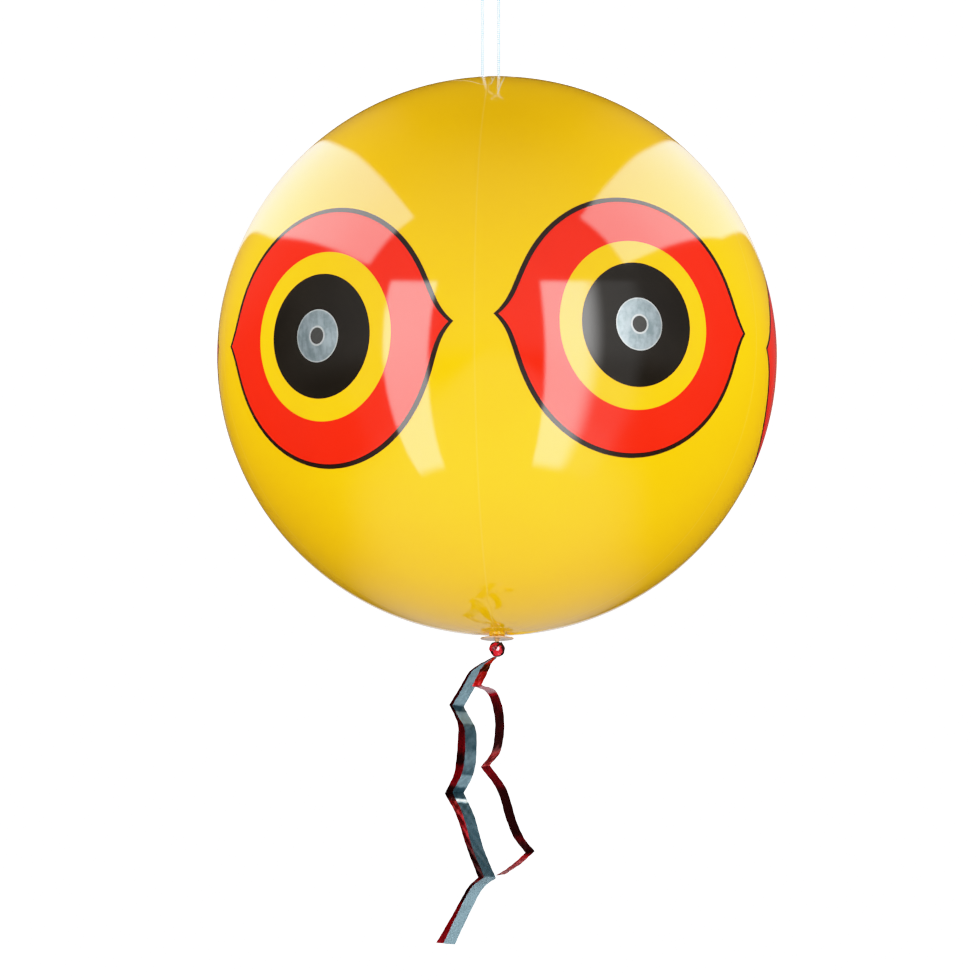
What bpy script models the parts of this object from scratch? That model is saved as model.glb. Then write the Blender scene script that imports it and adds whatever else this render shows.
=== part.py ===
# Bird scare balloon: an inflatable vinyl ball of five welded gores with a printed eye on each, hung
# from a knotted clear cord, with a plugged valve at the bottom and creased foil streamers below it.
# Metres, +Z up. The origin is where a hook bears in the cord's top loop. The ball hangs below it,
# its front faces -Y, and a turn of 0 about Z points to the front and grows towards +X.

from math import asin, atan2, cos, exp, pi, radians, sin, sqrt

import bmesh
import bpy
from mathutils import Matrix, Vector

MM = 0.001
GAP = 0.3 * MM  # between pieces that touch on the real object
OVERRUN = 0.4 * MM  # how far a cutter passes the face that it cuts
WELD_REACH = 0.02 * MM  # corners of a turned piece this close become one

# Ball
BALL_RADIUS = 200 * MM
HANG_DROP = 124 * MM  # from the hook's seat to the ball's top
GORE_COUNT = 5
GORE_COLUMNS = 8
GORE_ROWS = 19
GORE_FILM = 0.25 * MM
FRONT_SEAM_TURN = radians(-4.6)

# Round patches inside the gores' ends
PATCH_REACH = 22 * MM
PATCH_FILM = 0.4 * MM

# Printed eye, measured along the film from its centre
EYE_MARGIN = 16.5 * MM  # from each tip to the seam
EYE_TIP_REACH = 13 * MM  # how far a tip stands out of the round outline
EYE_TIP_SPREAD = radians(6.5)  # the turn over which a tip fades into the round
EYE_TIP_RISE = 3.8 * MM  # the tips stand a little above the centre
EYE_LINE_WIDTH = 2.8 * MM
EYE_PUPIL_SHARE = 0.4659  # the pupil's radius, of the eye's round radius
EYE_RING_SHARE = 0.6343  # and the radius of the ring round it
EYE_INK = 0.12 * MM
STICKER_RADIUS = 18.8 * MM
STICKER_FILM = 0.2 * MM
# Where each print lies on its gore, across and up, as shares of the eye's round radius
EYE_PLACE_SHARES = ((-0.028, -0.008), (0.045, -0.07), (0.0, 0.0), (-0.045, -0.01), (0.013, -0.069))
# The bull's eye is printed in another pass, so it sits a little off the outline
BULL_PLACE_SHARES = ((-0.012, 0.0), (0.0, 0.0), (0.0, 0.0), (0.0, 0.0), (0.022, 0.0))
EYE_STEPS_OFF_TIP = tuple(radians(a) for a in (0, 4, 9, 16, 28, 40.5, 53, 65.5, 78))
RED_BANDS = 2
STICKER_SIDES = 20

# Clear hanging patch and pad, welded over the top
HANG_PATCH_RADIUS = 15.5 * MM
HANG_PATCH_FILM = 0.4 * MM
PAD_WIDTH = 8 * MM
PAD_THICKNESS = 0.8 * MM
PAD_MARGIN = 2.2 * MM  # past the strands at each end

# Cord
CORD_DIAMETER = 2.6 * MM
CORD_SPACING = 11.6 * MM  # between its two strands
CORD_SHIFT = -4.5 * MM  # of the strands' middle from the ball's
NOD_LIFT = 2.5 * MM  # where the strands flex, above their welded ends
CORD_KNOT_RADIUS = 4.2 * MM
CORD_KNOT_DROP = 24 * MM  # from the origin to the knot's centre
CORD_KNOT_WRAPS = 3
CORD_KNOT_GROOVE = 0.35 * MM
CORD_TAPER = 40 * MM  # from the knot's centre down to where the strands run side by side
STRAND_RUN_SHARES = (0, 0.25, 0.5, 0.75, 1)
# From a strand's straight run to the knot: over to its place at the knot, and up
TAPER_SHARES = ((0.07, 0.2), (0.21, 0.4), (0.4, 0.6), (0.67, 0.8), (1, 1))
# Half of the top loop, from the knot to its crown: out, and up, as shares of the knot's drop
LOOP_SHARES = ((0.13, 0.31), (0.22, 0.46), (0.28, 0.63), (0.285, 0.79), (0.23, 0.93), (0.125, 1.03))

# Valve
STEM_RADIUS = 5.7 * MM
BORE_RADIUS = 4.2 * MM
STEM_OUT = 2.6 * MM
STEM_IN = 14 * MM
FLANGE_RADIUS = 16 * MM
FLANGE_THICKNESS = 0.8 * MM
FLAP_THICKNESS = 0.4 * MM
PLUG_HEAD_RADIUS = 12 * MM
PLUG_HEAD_THICKNESS = 1 * MM
PLUG_SHANK_LENGTH = 12 * MM
PLUG_SHANK_CHAMFER = 0.8 * MM
LUG_RADIUS = 1.5 * MM
LUG_LENGTH = 3.6 * MM
ROUND_SIDES = 40
PAD_END_SIDES = 10

# Tail
TAIL_KNOT_RADIUS = 6.2 * MM
TAIL_KNOT_DROP = 3.1 * MM  # its centre below the lug's end
TAIL_KNOT_DENT_SHARE = 0.16
RECESS_CLEARANCE = 0.4 * MM  # round the lug, where the knot turns about it
RECESS_DEPTH = 0.8 * MM  # below the lug's end
RECESS_FLARE = 2.1 * MM  # the mouth's radius over the lug's
STREAMER_WIDTH = 10 * MM
STREAMER_FILM = 0.3 * MM
STREAMER_PITCH = 70 * MM
STREAMER_STEPS = 3  # straight lengths to each stretch of a curved panel
# A streamer's crease runs level: its turn from +X, towards the back
PAIR_CREASE_TURN = radians(35)
SIDE_CREASE_TURN = radians(-48)
# Where each streamer lies along its crease, from the knot's centre
PAIR_ALONG_CREASE = -3.5 * MM
SIDE_ALONG_CREASE = -0.4 * MM
PAIR_START = 1.8 * MM  # where they leave the knot, across the crease from its middle
SIDE_START = -1.8 * MM
REAR_BEHIND = 1.2 * MM  # how far the pair's rear one starts behind the front one
GATHER_DROP = 9 * MM  # the length below the knot over which a streamer spreads to its width
GATHER_WIDTH = 3 * MM  # its gathered width at the knot
# Panels between folds: back across the crease from the knot's middle, and down, as shares of the fold
# pitch. The first point is only a start, and gives way to the place where the streamer leaves the knot.
PAIR_PANEL_SHARES = (
    ((0, 0), (0.23, -0.18), (0.43, -0.36), (0.62, -0.53)),
    ((0.62, -0.53), (0.51, -0.66), (0.41, -0.78), (0.39, -0.94), (0.41, -1.14), (0.47, -1.27), (0.62, -1.42)),
    ((0.62, -1.42), (0.43, -1.68), (0.27, -2.02), (0.05, -2.35)),
    ((0.05, -2.35), (0.29, -2.44), (0.55, -2.70), (0.78, -2.96)),
)
REAR_PANEL_SHARES = (
    ((0, 0), (0.27, -0.17), (0.48, -0.35), (0.68, -0.52)),
    ((0.68, -0.52), (0.58, -0.64), (0.52, -0.76), (0.53, -0.93), (0.56, -1.13), (0.61, -1.26), (0.76, -1.42)),
    ((0.76, -1.42), (0.55, -1.67), (0.37, -2.01), (0.165, -2.34)),
    ((0.165, -2.34), (0.35, -2.43), (0.63, -2.69), (0.91, -2.94)),
)
SIDE_PANEL_SHARES = (
    ((0, 0), (-0.13, -0.18), (-0.20, -0.29), (-0.27, -0.40)),
    ((-0.27, -0.40), (-0.06, -0.46), (0.04, -0.72), (0.0, -1.04), (-0.155, -1.22)),
    ((-0.155, -1.22), (0.07, -1.44), (0.20, -1.74), (0.31, -1.92), (0.46, -2.05)),
    ((0.46, -2.05), (0.26, -2.20), (0.05, -2.32)),
)

# Worked out from the sizes above
GORE_TURN = 2 * pi / GORE_COUNT
GORE_STANDOFF = GAP / 2 / sin(GORE_TURN / 2)  # moved out, neighbours leave an even gap at the seam
TIP_RADIUS = STEM_RADIUS + GAP
BALL_TOP_Z = -HANG_DROP
BALL_CENTRE_Z = BALL_TOP_Z - BALL_RADIUS
BALL_BOTTOM_Z = BALL_CENTRE_Z - BALL_RADIUS
EYE_HALF_WIDTH = GORE_TURN / 2 * BALL_RADIUS - EYE_MARGIN
EYE_ROUND_RADIUS = EYE_HALF_WIDTH - EYE_TIP_REACH
EYE_PUPIL_RADIUS = EYE_ROUND_RADIUS * EYE_PUPIL_SHARE
EYE_RING_RADIUS = EYE_ROUND_RADIUS * EYE_RING_SHARE
CORD_RADIUS = CORD_DIAMETER / 2
PLUG_HEAD_Z = BALL_BOTTOM_Z - STEM_OUT - GAP
LUG_TOP_Z = PLUG_HEAD_Z - PLUG_HEAD_THICKNESS
LUG_END_Z = LUG_TOP_Z - LUG_LENGTH
TAIL_KNOT_Z = LUG_END_Z - TAIL_KNOT_DROP

for leftover in list(bpy.data.objects):
    bpy.data.objects.remove(leftover)


def new_collection(name):
    collection = bpy.data.collections.new(name)
    bpy.context.scene.collection.children.link(collection)
    return collection


parts = new_collection("bird_scare_balloon")
cutters = new_collection("cutters")


def new_material(name, colour, roughness, metallic=0.0, alpha=1.0):
    material = bpy.data.materials.new(name)
    material.use_nodes = True
    shader = material.node_tree.nodes["Principled BSDF"]
    shader.inputs["Base Color"].default_value = (*colour, 1)
    shader.inputs["Roughness"].default_value = roughness
    shader.inputs["Metallic"].default_value = metallic
    shader.inputs["Alpha"].default_value = alpha
    return material


yellow_vinyl = new_material("yellow_vinyl", (0.93, 0.57, 0.02), 0.25)
black_ink = new_material("black_ink", (0.015, 0.013, 0.012), 0.25)
red_ink = new_material("red_ink", (0.86, 0.03, 0.02), 0.25)
ring_ink = new_material("ring_ink", (0.96, 0.60, 0.03), 0.25)
sticker_foil = new_material("sticker_foil", (0.62, 0.66, 0.68), 0.3, metallic=0.9)
clear_vinyl = new_material("clear_vinyl", (0.86, 0.90, 0.92), 0.15, alpha=0.35)
clear_cord = new_material("clear_cord", (0.86, 0.92, 0.94), 0.15, alpha=0.4)
valve_vinyl = new_material("valve_vinyl", (0.90, 0.62, 0.10), 0.3)
plug_vinyl = new_material("plug_vinyl", (0.88, 0.80, 0.68), 0.3)
red_foil = new_material("red_foil", (0.55, 0.01, 0.02), 0.2, metallic=1.0)
silver_foil = new_material("silver_foil", (0.45, 0.56, 0.62), 0.2, metallic=1.0)


def new_object(name, mesh, material, collection=parts):
    made = bpy.data.objects.new(name, mesh)
    made.data.materials.append(material)
    collection.objects.link(made)
    return made


def carry(pivot, *pieces):
    """Hangs the pieces on an unrotated pivot and leaves them where they are."""
    for piece in pieces:
        piece.parent = pivot
        piece.matrix_parent_inverse = Matrix.Translation(-pivot.location)


def new_pivot(name, z, carrier=None, y=0):
    """An empty on the axis that some pieces turn about."""
    pivot = bpy.data.objects.new(name, None)
    pivot.location = (0, y, z)
    parts.objects.link(pivot)
    if carrier:
        carry(carrier, pivot)
    return pivot


def mesh_from(name, points, edges=(), faces=()):
    mesh = bpy.data.meshes.new(name)
    mesh.from_pydata(points, edges, faces)
    return mesh


def add_solidify(made, thickness, offset):
    solidify = made.modifiers.new("thickness", "SOLIDIFY")
    solidify.thickness = thickness
    solidify.offset = offset
    solidify.use_even_offset = True
    return solidify


def turned(name, profile, material, steps=ROUND_SIDES, turn=2 * pi, closed_profile=False):
    """A profile of (radius, height) turned about Z. It runs down its outer side."""
    count = len(profile)
    edges = [(i, i + 1) for i in range(count - 1)]
    if closed_profile:
        edges.append((count - 1, 0))
    made = new_object(name, mesh_from(name, [(r, 0, z) for r, z in profile], edges), material)
    screw = made.modifiers.new("turn", "SCREW")
    screw.axis = "Z"
    screw.angle = turn
    screw.steps = steps
    screw.render_steps = steps
    screw.use_merge_vertices = turn == 2 * pi
    screw.merge_threshold = WELD_REACH
    screw.use_smooth_shade = True
    return made


def cap_profile(radius, angles):
    """Points down the ball's side at these angles from its top."""
    return [(radius * sin(a), radius * cos(a)) for a in angles]


def smooth_route(points, cuts):
    """A Catmull-Rom curve through the points, with each stretch cut into this many lengths."""
    known = [Vector(p) for p in points]
    known = [2 * known[0] - known[1], *known, 2 * known[-1] - known[-2]]
    route = [known[1]]
    for before, start, end, after in zip(known, known[1:], known[2:], known[3:]):
        for i in range(1, cuts + 1):
            t = i / cuts
            bend = (2 * before - 5 * start + 4 * end - after) * t * t
            twist = (3 * start - before - 3 * end + after) * t * t * t
            route.append(0.5 * (2 * start + (end - before) * t + bend + twist))
    return route


def cord_tube(name, route):
    curve = bpy.data.curves.new(name, "CURVE")
    curve.dimensions = "3D"
    curve.bevel_depth = CORD_RADIUS
    curve.bevel_resolution = 2
    curve.use_fill_caps = True
    spline = curve.splines.new("POLY")
    spline.points.add(len(route) - 1)
    for point, place in zip(spline.points, route):
        point.co = (*place, 1)
    return new_object(name, curve, clear_cord)


def ribbon(name, profile, across, along, width, film, material, shaping=None):
    """A strip whose profile of (across, height) is drawn in an upright plane and pulled level along.
    The shaping, if any, gives each corner its final place."""
    shape = bmesh.new()
    line = [shape.verts.new(Vector(across) * a + Vector((0, 0, z)) - Vector(along) * width / 2) for a, z in profile]
    edges = [shape.edges.new(pair) for pair in zip(line, line[1:])]
    pulled = bmesh.ops.extrude_edge_only(shape, edges=edges)
    moved = [item for item in pulled["geom"] if isinstance(item, bmesh.types.BMVert)]
    bmesh.ops.translate(shape, verts=moved, vec=Vector(along) * width)
    if shaping:
        for corner in shape.verts:
            corner.co = shaping(corner.co)
    bmesh.ops.recalc_face_normals(shape, faces=shape.faces)
    mesh = bpy.data.meshes.new(name)
    shape.to_mesh(mesh)
    shape.free()
    made = new_object(name, mesh, material)
    add_solidify(made, film, 0)
    return made


# Pivots: the ball turns and swings at the knot in its cord, and nods just above the strands' ends.

pad_z = BALL_TOP_Z + GAP + HANG_PATCH_FILM + GAP + PAD_THICKNESS / 2
strand_end_z = pad_z + PAD_THICKNESS / 2 + GAP
knot_pivot = new_pivot("knot_pivot", -CORD_KNOT_DROP)
ball_pivot = new_pivot("ball_pivot", strand_end_z + NOD_LIFT, knot_pivot)

# Gores: each is a fifth of the ball, from the hole round the valve to the same hole at the top.

tip_angle = asin(TIP_RADIUS / BALL_RADIUS)
patch_angle = PATCH_REACH / BALL_RADIUS
row_angles = [patch_angle + (pi - 2 * patch_angle) * i / GORE_ROWS for i in range(GORE_ROWS + 1)]
gore_angles = [tip_angle, *row_angles, pi - tip_angle]


def front_turn(turn):
    """A turn from the front, as a rotation about Z of something drawn at +X."""
    return turn - pi / 2


def new_gore(number):
    start = FRONT_SEAM_TURN + GORE_TURN * (number - 1)
    middle = start + GORE_TURN / 2
    carrier = bpy.data.objects.new(f"gore_{number}_middle", None)
    out = Vector((sin(middle), -cos(middle), 0)) * GORE_STANDOFF
    carrier.location = Vector((0, 0, BALL_CENTRE_Z)) + out
    parts.objects.link(carrier)
    carry(ball_pivot, carrier)
    gore = turned(
        f"gore_{number}", cap_profile(BALL_RADIUS, gore_angles), yellow_vinyl, GORE_COLUMNS, GORE_TURN
    )
    gore.rotation_euler.z = front_turn(start)
    gore.parent = carrier
    add_solidify(gore, GORE_FILM, -1)
    return carrier, middle


# Eye prints: thin layers on each gore, with edges at shared turns so that they nest.


def eye_turns():
    """Turns round the eye, closer together near its two tips."""
    rise = atan2(EYE_TIP_RISE, EYE_HALF_WIDTH)
    quarter = EYE_STEPS_OFF_TIP
    turns = [rise + a for a in quarter] + [pi / 2]
    turns += [pi - rise - a for a in reversed(quarter)] + [pi - rise + a for a in quarter[1:]]
    turns += [3 * pi / 2] + [2 * pi + rise - a for a in reversed(quarter[1:])]
    return turns


def tip_reach(turn):
    """How far the outline stands out of its round at this turn: it fades from each tip."""
    rise = atan2(EYE_TIP_RISE, EYE_HALF_WIDTH)
    off = min(abs((turn - tip + pi) % (2 * pi) - pi) for tip in (rise, pi - rise))
    return EYE_TIP_REACH * exp(-off / EYE_TIP_SPREAD)


def facet_sag(step):
    return BALL_RADIUS * (1 - cos(step / 2))


widest_step = max(b - a for a, b in zip(EYE_STEPS_OFF_TIP, EYE_STEPS_OFF_TIP[1:]))
band_step = (EYE_ROUND_RADIUS - EYE_RING_RADIUS) / RED_BANDS / BALL_RADIUS
PRINT_SAG = facet_sag(band_step) + facet_sag(widest_step * sin(EYE_ROUND_RADIUS / BALL_RADIUS))
PRINT_SAG = max(PRINT_SAG, facet_sag(EYE_PUPIL_RADIUS / 2 / BALL_RADIUS) * 2)
INK_RADIUS = BALL_RADIUS + GAP + PRINT_SAG + EYE_INK
STICKER_SHELL = INK_RADIUS + GAP + facet_sag(STICKER_RADIUS / BALL_RADIUS) + STICKER_FILM


def eye_frame(middle, place):
    """Turns +Z to the eye's centre, +X to its right and +Y up, for a place on the gore."""
    across, up = (share * EYE_ROUND_RADIUS / BALL_RADIUS for share in place)
    turn = middle + across
    out = Vector((sin(turn) * cos(up), -cos(turn) * cos(up), sin(up)))
    right = Vector((cos(turn), sin(turn), 0))
    return Matrix((right, out.cross(right), out)).transposed().to_4x4()


def dome_layer(name, carrier, frame, shell, rings, turns, film, material, shifts=None):
    """A thin layer between closed rings on the ball. A ring gives the film length out to each turn,
    and a length of 0 closes the layer at its centre."""
    points = []
    loops = []
    for lengths in rings:
        if max(lengths) == 0:
            loops.append([len(points)])
            points.append((0, 0, shell))
            continue
        loops.append(list(range(len(points), len(points) + len(turns))))
        for i, (length, turn) in enumerate(zip(lengths, turns)):
            place = Vector((sin(length / BALL_RADIUS) * cos(turn), sin(length / BALL_RADIUS) * sin(turn), 0))
            place.z = cos(length / BALL_RADIUS)
            if shifts:
                place = shifts @ place if lengths is rings[0] else place
            points.append(place * shell)
    faces = []
    for inner, outer in zip(loops, loops[1:]):
        for i in range(len(outer)):
            following = (i + 1) % len(outer)
            if len(inner) == 1:
                faces.append((inner[0], outer[i], outer[following]))
            else:
                faces.append((inner[i], outer[i], outer[following], inner[following]))
    made = new_object(name, mesh_from(name, points, (), faces), material)
    made.parent = carrier
    made.matrix_basis = frame
    add_solidify(made, film, -1)
    made.data.shade_smooth()
    return made


def new_eye(number, carrier, middle):
    turns = eye_turns()
    place = EYE_PLACE_SHARES[number - 1]
    bull = BULL_PLACE_SHARES[number - 1]
    frame = eye_frame(middle, place)
    bull_frame = eye_frame(middle, (place[0] + bull[0], place[1] + bull[1]))
    to_bull = frame.to_3x3().transposed() @ bull_frame.to_3x3()
    outer = [EYE_ROUND_RADIUS + tip_reach(t) for t in turns]
    line = [length - EYE_LINE_WIDTH for length in outer]
    field = [length - GAP for length in line]
    hole = [EYE_RING_RADIUS + GAP for _ in turns]
    bands = [hole]
    for band in range(1, RED_BANDS + 1):
        share = band / RED_BANDS
        bands.append([a + (b - a) * share for a, b in zip(hole, field)])
    black = (carrier, frame, INK_RADIUS)
    dome_layer(f"eye_outline_{number}", *black, [line, outer], turns, EYE_INK, black_ink)
    dome_layer(
        f"eye_red_{number}", carrier, frame, INK_RADIUS, bands, turns, EYE_INK, red_ink, shifts=to_bull
    )
    ring = [[EYE_PUPIL_RADIUS + GAP] * len(turns), [EYE_RING_RADIUS] * len(turns)]
    dome_layer(f"eye_ring_{number}", carrier, bull_frame, INK_RADIUS, ring, turns, EYE_INK, ring_ink)
    pupil = [[0], [EYE_PUPIL_RADIUS / 2] * len(turns), [EYE_PUPIL_RADIUS] * len(turns)]
    dome_layer(f"eye_pupil_{number}", carrier, bull_frame, INK_RADIUS, pupil, turns, EYE_INK, black_ink)
    sides = [2 * pi * i / STICKER_SIDES for i in range(STICKER_SIDES)]
    sticker = [[0], [STICKER_RADIUS] * STICKER_SIDES]
    dome_layer(
        f"eye_sticker_{number}", carrier, bull_frame, STICKER_SHELL, sticker, sides, STICKER_FILM, sticker_foil
    )


for gore_number in range(1, GORE_COUNT + 1):
    gore_carrier, gore_middle = new_gore(gore_number)
    new_eye(gore_number, gore_carrier, gore_middle)

# Round patches: the gores' ends are welded to one inside each end of the ball.


def new_patch(name, radius, angles, film, material, flip=False):
    """A round patch that follows the ball. Flipped, it lies at the bottom."""
    profile = cap_profile(radius, angles)
    if flip:
        profile = [(r, -z) for r, z in reversed(profile)]
    patch = turned(name, profile, material)
    patch.location.z = BALL_CENTRE_Z
    patch.rotation_euler.z = front_turn(FRONT_SEAM_TURN)
    carry(ball_pivot, patch)
    add_solidify(patch, film, -1)
    return patch


inner_patch_radius = BALL_RADIUS - GORE_FILM - GAP
new_patch("top_patch", inner_patch_radius, [0, tip_angle, patch_angle], PATCH_FILM, yellow_vinyl)
new_patch("bottom_patch", inner_patch_radius, [tip_angle, patch_angle], PATCH_FILM, yellow_vinyl, flip=True)

# Hanging patch and pad: a clear disc on top of the ball, and a clear pad that the cord's ends are welded to.

hang_patch_outer = BALL_RADIUS + GAP + HANG_PATCH_FILM
hang_angles = [0, tip_angle, HANG_PATCH_RADIUS / BALL_RADIUS]
new_patch("hang_patch", hang_patch_outer, hang_angles, HANG_PATCH_FILM, clear_vinyl)


def slot_outline(length, width, thickness, name, material):
    """A flat slab with round ends, long along X."""
    curve = bpy.data.curves.new(name, "CURVE")
    curve.dimensions = "2D"
    curve.fill_mode = "BOTH"
    curve.extrude = thickness / 2
    spline = curve.splines.new("POLY")
    spline.use_cyclic_u = True
    turns = [-pi / 2 + pi * i / PAD_END_SIDES for i in range(PAD_END_SIDES + 1)]
    reach = (length - width) / 2
    corners = [(reach + width / 2 * cos(t), width / 2 * sin(t)) for t in turns]
    corners += [(-x, -y) for x, y in corners]
    spline.points.add(len(corners) - 1)
    for point, place in zip(spline.points, corners):
        point.co = (*place, 0, 1)
    return new_object(name, curve, material)


pad_length = CORD_SPACING + CORD_DIAMETER + 2 * PAD_MARGIN
pad = slot_outline(pad_length, PAD_WIDTH, PAD_THICKNESS, "hang_pad", clear_vinyl)
pad.location = (CORD_SHIFT, 0, pad_z)
carry(ball_pivot, pad)

# Cord: two strands from the pad to a knot, and a loop above the knot.

taper_z = -CORD_KNOT_DROP - CORD_TAPER
entry_x = CORD_RADIUS + GAP
entry_lift = sqrt((CORD_KNOT_RADIUS + 2 * GAP) ** 2 - entry_x**2)


def new_strand(name, side):
    """A strand from the pad to the knot, with side 1 for the right one and -1 for the left one."""
    x = CORD_SHIFT + side * CORD_SPACING / 2
    places = [(x, 0, strand_end_z + (taper_z - strand_end_z) * share) for share in STRAND_RUN_SHARES]
    over = side * entry_x - x
    rise = -CORD_KNOT_DROP - entry_lift - taper_z
    places += [(x + over * out, 0, taper_z + rise * up) for out, up in TAPER_SHARES]
    strand = cord_tube(name, smooth_route(places, 2))
    carry(knot_pivot, strand)


new_strand("cord_right", 1)
new_strand("cord_left", -1)
loop_half = [(entry_x, 0, entry_lift - CORD_KNOT_DROP)]
loop_half += [(x * CORD_KNOT_DROP, 0, (z - 1) * CORD_KNOT_DROP) for x, z in LOOP_SHARES]
loop_other = [(-x, y, z) for x, y, z in reversed(loop_half)]
cord_tube("cord_loop", smooth_route([*loop_half, (0, 0, CORD_RADIUS), *loop_other], 2))


def wrapped_ball(radius, wraps, groove, rows):
    """Outer side of a ball with grooves between its wraps, as (radius, height), top to bottom."""
    profile = []
    for i in range(rows + 1):
        angle = pi * i / rows
        dip = groove * (1 - abs(sin(wraps * angle))) * sin(angle)
        profile.append(((radius - dip) * sin(angle), (radius - dip) * cos(angle)))
    profile[0] = (0, radius)
    profile[-1] = (0, -radius)
    return profile


knot_profile = wrapped_ball(CORD_KNOT_RADIUS, CORD_KNOT_WRAPS, CORD_KNOT_GROOVE, 4 * CORD_KNOT_WRAPS)
cord_knot = turned("cord_knot", knot_profile, clear_cord, ROUND_SIDES // 2)
cord_knot.location.z = -CORD_KNOT_DROP
carry(knot_pivot, cord_knot)

# Valve: a flanged stem through the gores' lower ends, a flap on its inner end, and a plug.

flange_out = inner_patch_radius - PATCH_FILM - GAP
flange_in = flange_out - FLANGE_THICKNESS


def inside_z(shell, radius):
    return BALL_CENTRE_Z - sqrt(shell**2 - radius**2)


stem_top_z = BALL_BOTTOM_Z + STEM_IN
stem_bottom_z = BALL_BOTTOM_Z - STEM_OUT
stem = turned(
    "valve_stem",
    [
        (BORE_RADIUS, stem_top_z),
        (STEM_RADIUS, stem_top_z),
        (STEM_RADIUS, inside_z(flange_in, STEM_RADIUS)),
        (FLANGE_RADIUS, inside_z(flange_in, FLANGE_RADIUS)),
        (FLANGE_RADIUS, inside_z(flange_out, FLANGE_RADIUS)),
        (STEM_RADIUS, inside_z(flange_out, STEM_RADIUS)),
        (STEM_RADIUS, stem_bottom_z),
        (BORE_RADIUS, stem_bottom_z),
    ],
    valve_vinyl,
    closed_profile=True,
)
carry(ball_pivot, stem)
flap_radius = STEM_RADIUS - GAP
flap = turned(
    "valve_flap",
    [(0, FLAP_THICKNESS), (flap_radius, FLAP_THICKNESS), (flap_radius, 0), (0, 0)],
    valve_vinyl,
    ROUND_SIDES // 2,
)
flap.location.z = stem_top_z + GAP
flap_pivot = new_pivot("flap_pivot", stem_top_z + GAP, ball_pivot, y=flap_radius)
carry(flap_pivot, flap)

shank_radius = BORE_RADIUS - GAP
shank_top_z = PLUG_HEAD_Z + PLUG_SHANK_LENGTH
plug = turned(
    "valve_plug",
    [
        (0, shank_top_z),
        (shank_radius - PLUG_SHANK_CHAMFER, shank_top_z),
        (shank_radius, shank_top_z - PLUG_SHANK_CHAMFER),
        (shank_radius, PLUG_HEAD_Z),
        (PLUG_HEAD_RADIUS, PLUG_HEAD_Z),
        (PLUG_HEAD_RADIUS, LUG_TOP_Z),
        (LUG_RADIUS, LUG_TOP_Z),
        (LUG_RADIUS, LUG_END_Z),
        (0, LUG_END_Z),
    ],
    plug_vinyl,
)
carry(ball_pivot, plug)

# Tail: crumpled foil knotted round the plug's lug, and the creased streamers that hang from it.


tail_pivot = new_pivot("tail_pivot", LUG_END_Z, plug)
sway_pivot = new_pivot("sway_pivot", TAIL_KNOT_Z, tail_pivot)


def new_tail_knot():
    shape = bmesh.new()
    bmesh.ops.create_icosphere(shape, subdivisions=2, radius=1)
    for corner in shape.verts:
        x, y, z = corner.co
        fold = 0.5 + 0.5 * sin(7 * x + 4 * z) * cos(6 * y - 5 * z + 2 * x)
        under = max(0, -z) ** 2
        corner.co *= TAIL_KNOT_RADIUS * (1 - TAIL_KNOT_DENT_SHARE * fold * (1 - under))
    mesh = bpy.data.meshes.new("tail_knot")
    shape.to_mesh(mesh)
    shape.free()
    knot = new_object("tail_knot", mesh, red_foil)
    knot.location.z = TAIL_KNOT_Z
    carry(tail_pivot, knot)
    recess_height = RECESS_DEPTH + TAIL_KNOT_RADIUS - TAIL_KNOT_DROP + OVERRUN
    recess = bmesh.new()
    bmesh.ops.create_cone(
        recess,
        cap_ends=True,
        segments=ROUND_SIDES // 2,
        radius1=LUG_RADIUS + RECESS_CLEARANCE,
        radius2=LUG_RADIUS + RECESS_FLARE,
        depth=recess_height,
    )
    recess_mesh = bpy.data.meshes.new("tail_knot_recess")
    recess.to_mesh(recess_mesh)
    recess.free()
    cutter = new_object("tail_knot_recess", recess_mesh, red_foil, cutters)
    cutter.location.z = LUG_END_Z - RECESS_DEPTH + recess_height / 2
    cutter.hide_render = True
    cutter.display_type = "WIRE"
    cut = knot.modifiers.new("recess", "BOOLEAN")
    cut.operation = "DIFFERENCE"
    cut.object = cutter
    return knot


def panel_profile(panels, start):
    """A streamer's profile in (across, height), smooth inside each panel and sharp at each fold. It
    starts just under the knot's surface."""
    top = -sqrt((TAIL_KNOT_RADIUS + GAP) ** 2 - start**2)
    profile = []
    for number, panel in enumerate(panels):
        places = [(out * STREAMER_PITCH, down * STREAMER_PITCH, 0) for out, down in panel]
        if number == 0:
            places[0] = (start, top, 0)
        route = smooth_route(places, STREAMER_STEPS if number else 1)
        profile += [(p.x, p.y) for p in route[number > 0 :]]
    return profile


def new_streamer(name, panels, crease_turn, along_crease, start, material):
    along = Vector((cos(crease_turn), sin(crease_turn), 0))
    across = Vector((-sin(crease_turn), cos(crease_turn), 0))
    profile = panel_profile(panels, start)

    def gather(corner):
        """Draws the strip in towards the knot's middle, the more the nearer it lies to the knot."""
        spread = min(1, (profile[0][1] - corner.z) / GATHER_DROP)
        offset = corner.dot(along)
        gathered = offset * GATHER_WIDTH / STREAMER_WIDTH - along_crease
        return corner + along * (gathered - offset) * (1 - spread)

    strip = ribbon(name, profile, across, along, STREAMER_WIDTH, STREAMER_FILM, material, gather)
    strip.location = along * along_crease
    strip.location.z = TAIL_KNOT_Z
    carry(sway_pivot, strip)


new_tail_knot()
pair = (PAIR_CREASE_TURN, PAIR_ALONG_CREASE)
new_streamer("streamer_front", PAIR_PANEL_SHARES, *pair, PAIR_START, silver_foil)
new_streamer("streamer_rear", REAR_PANEL_SHARES, *pair, PAIR_START + REAR_BEHIND, red_foil)
new_streamer("streamer_side", SIDE_PANEL_SHARES, SIDE_CREASE_TURN, SIDE_ALONG_CREASE, SIDE_START, red_foil)
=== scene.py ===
import math

import bmesh
import bpy
import numpy as np
from mathutils import Matrix


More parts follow.
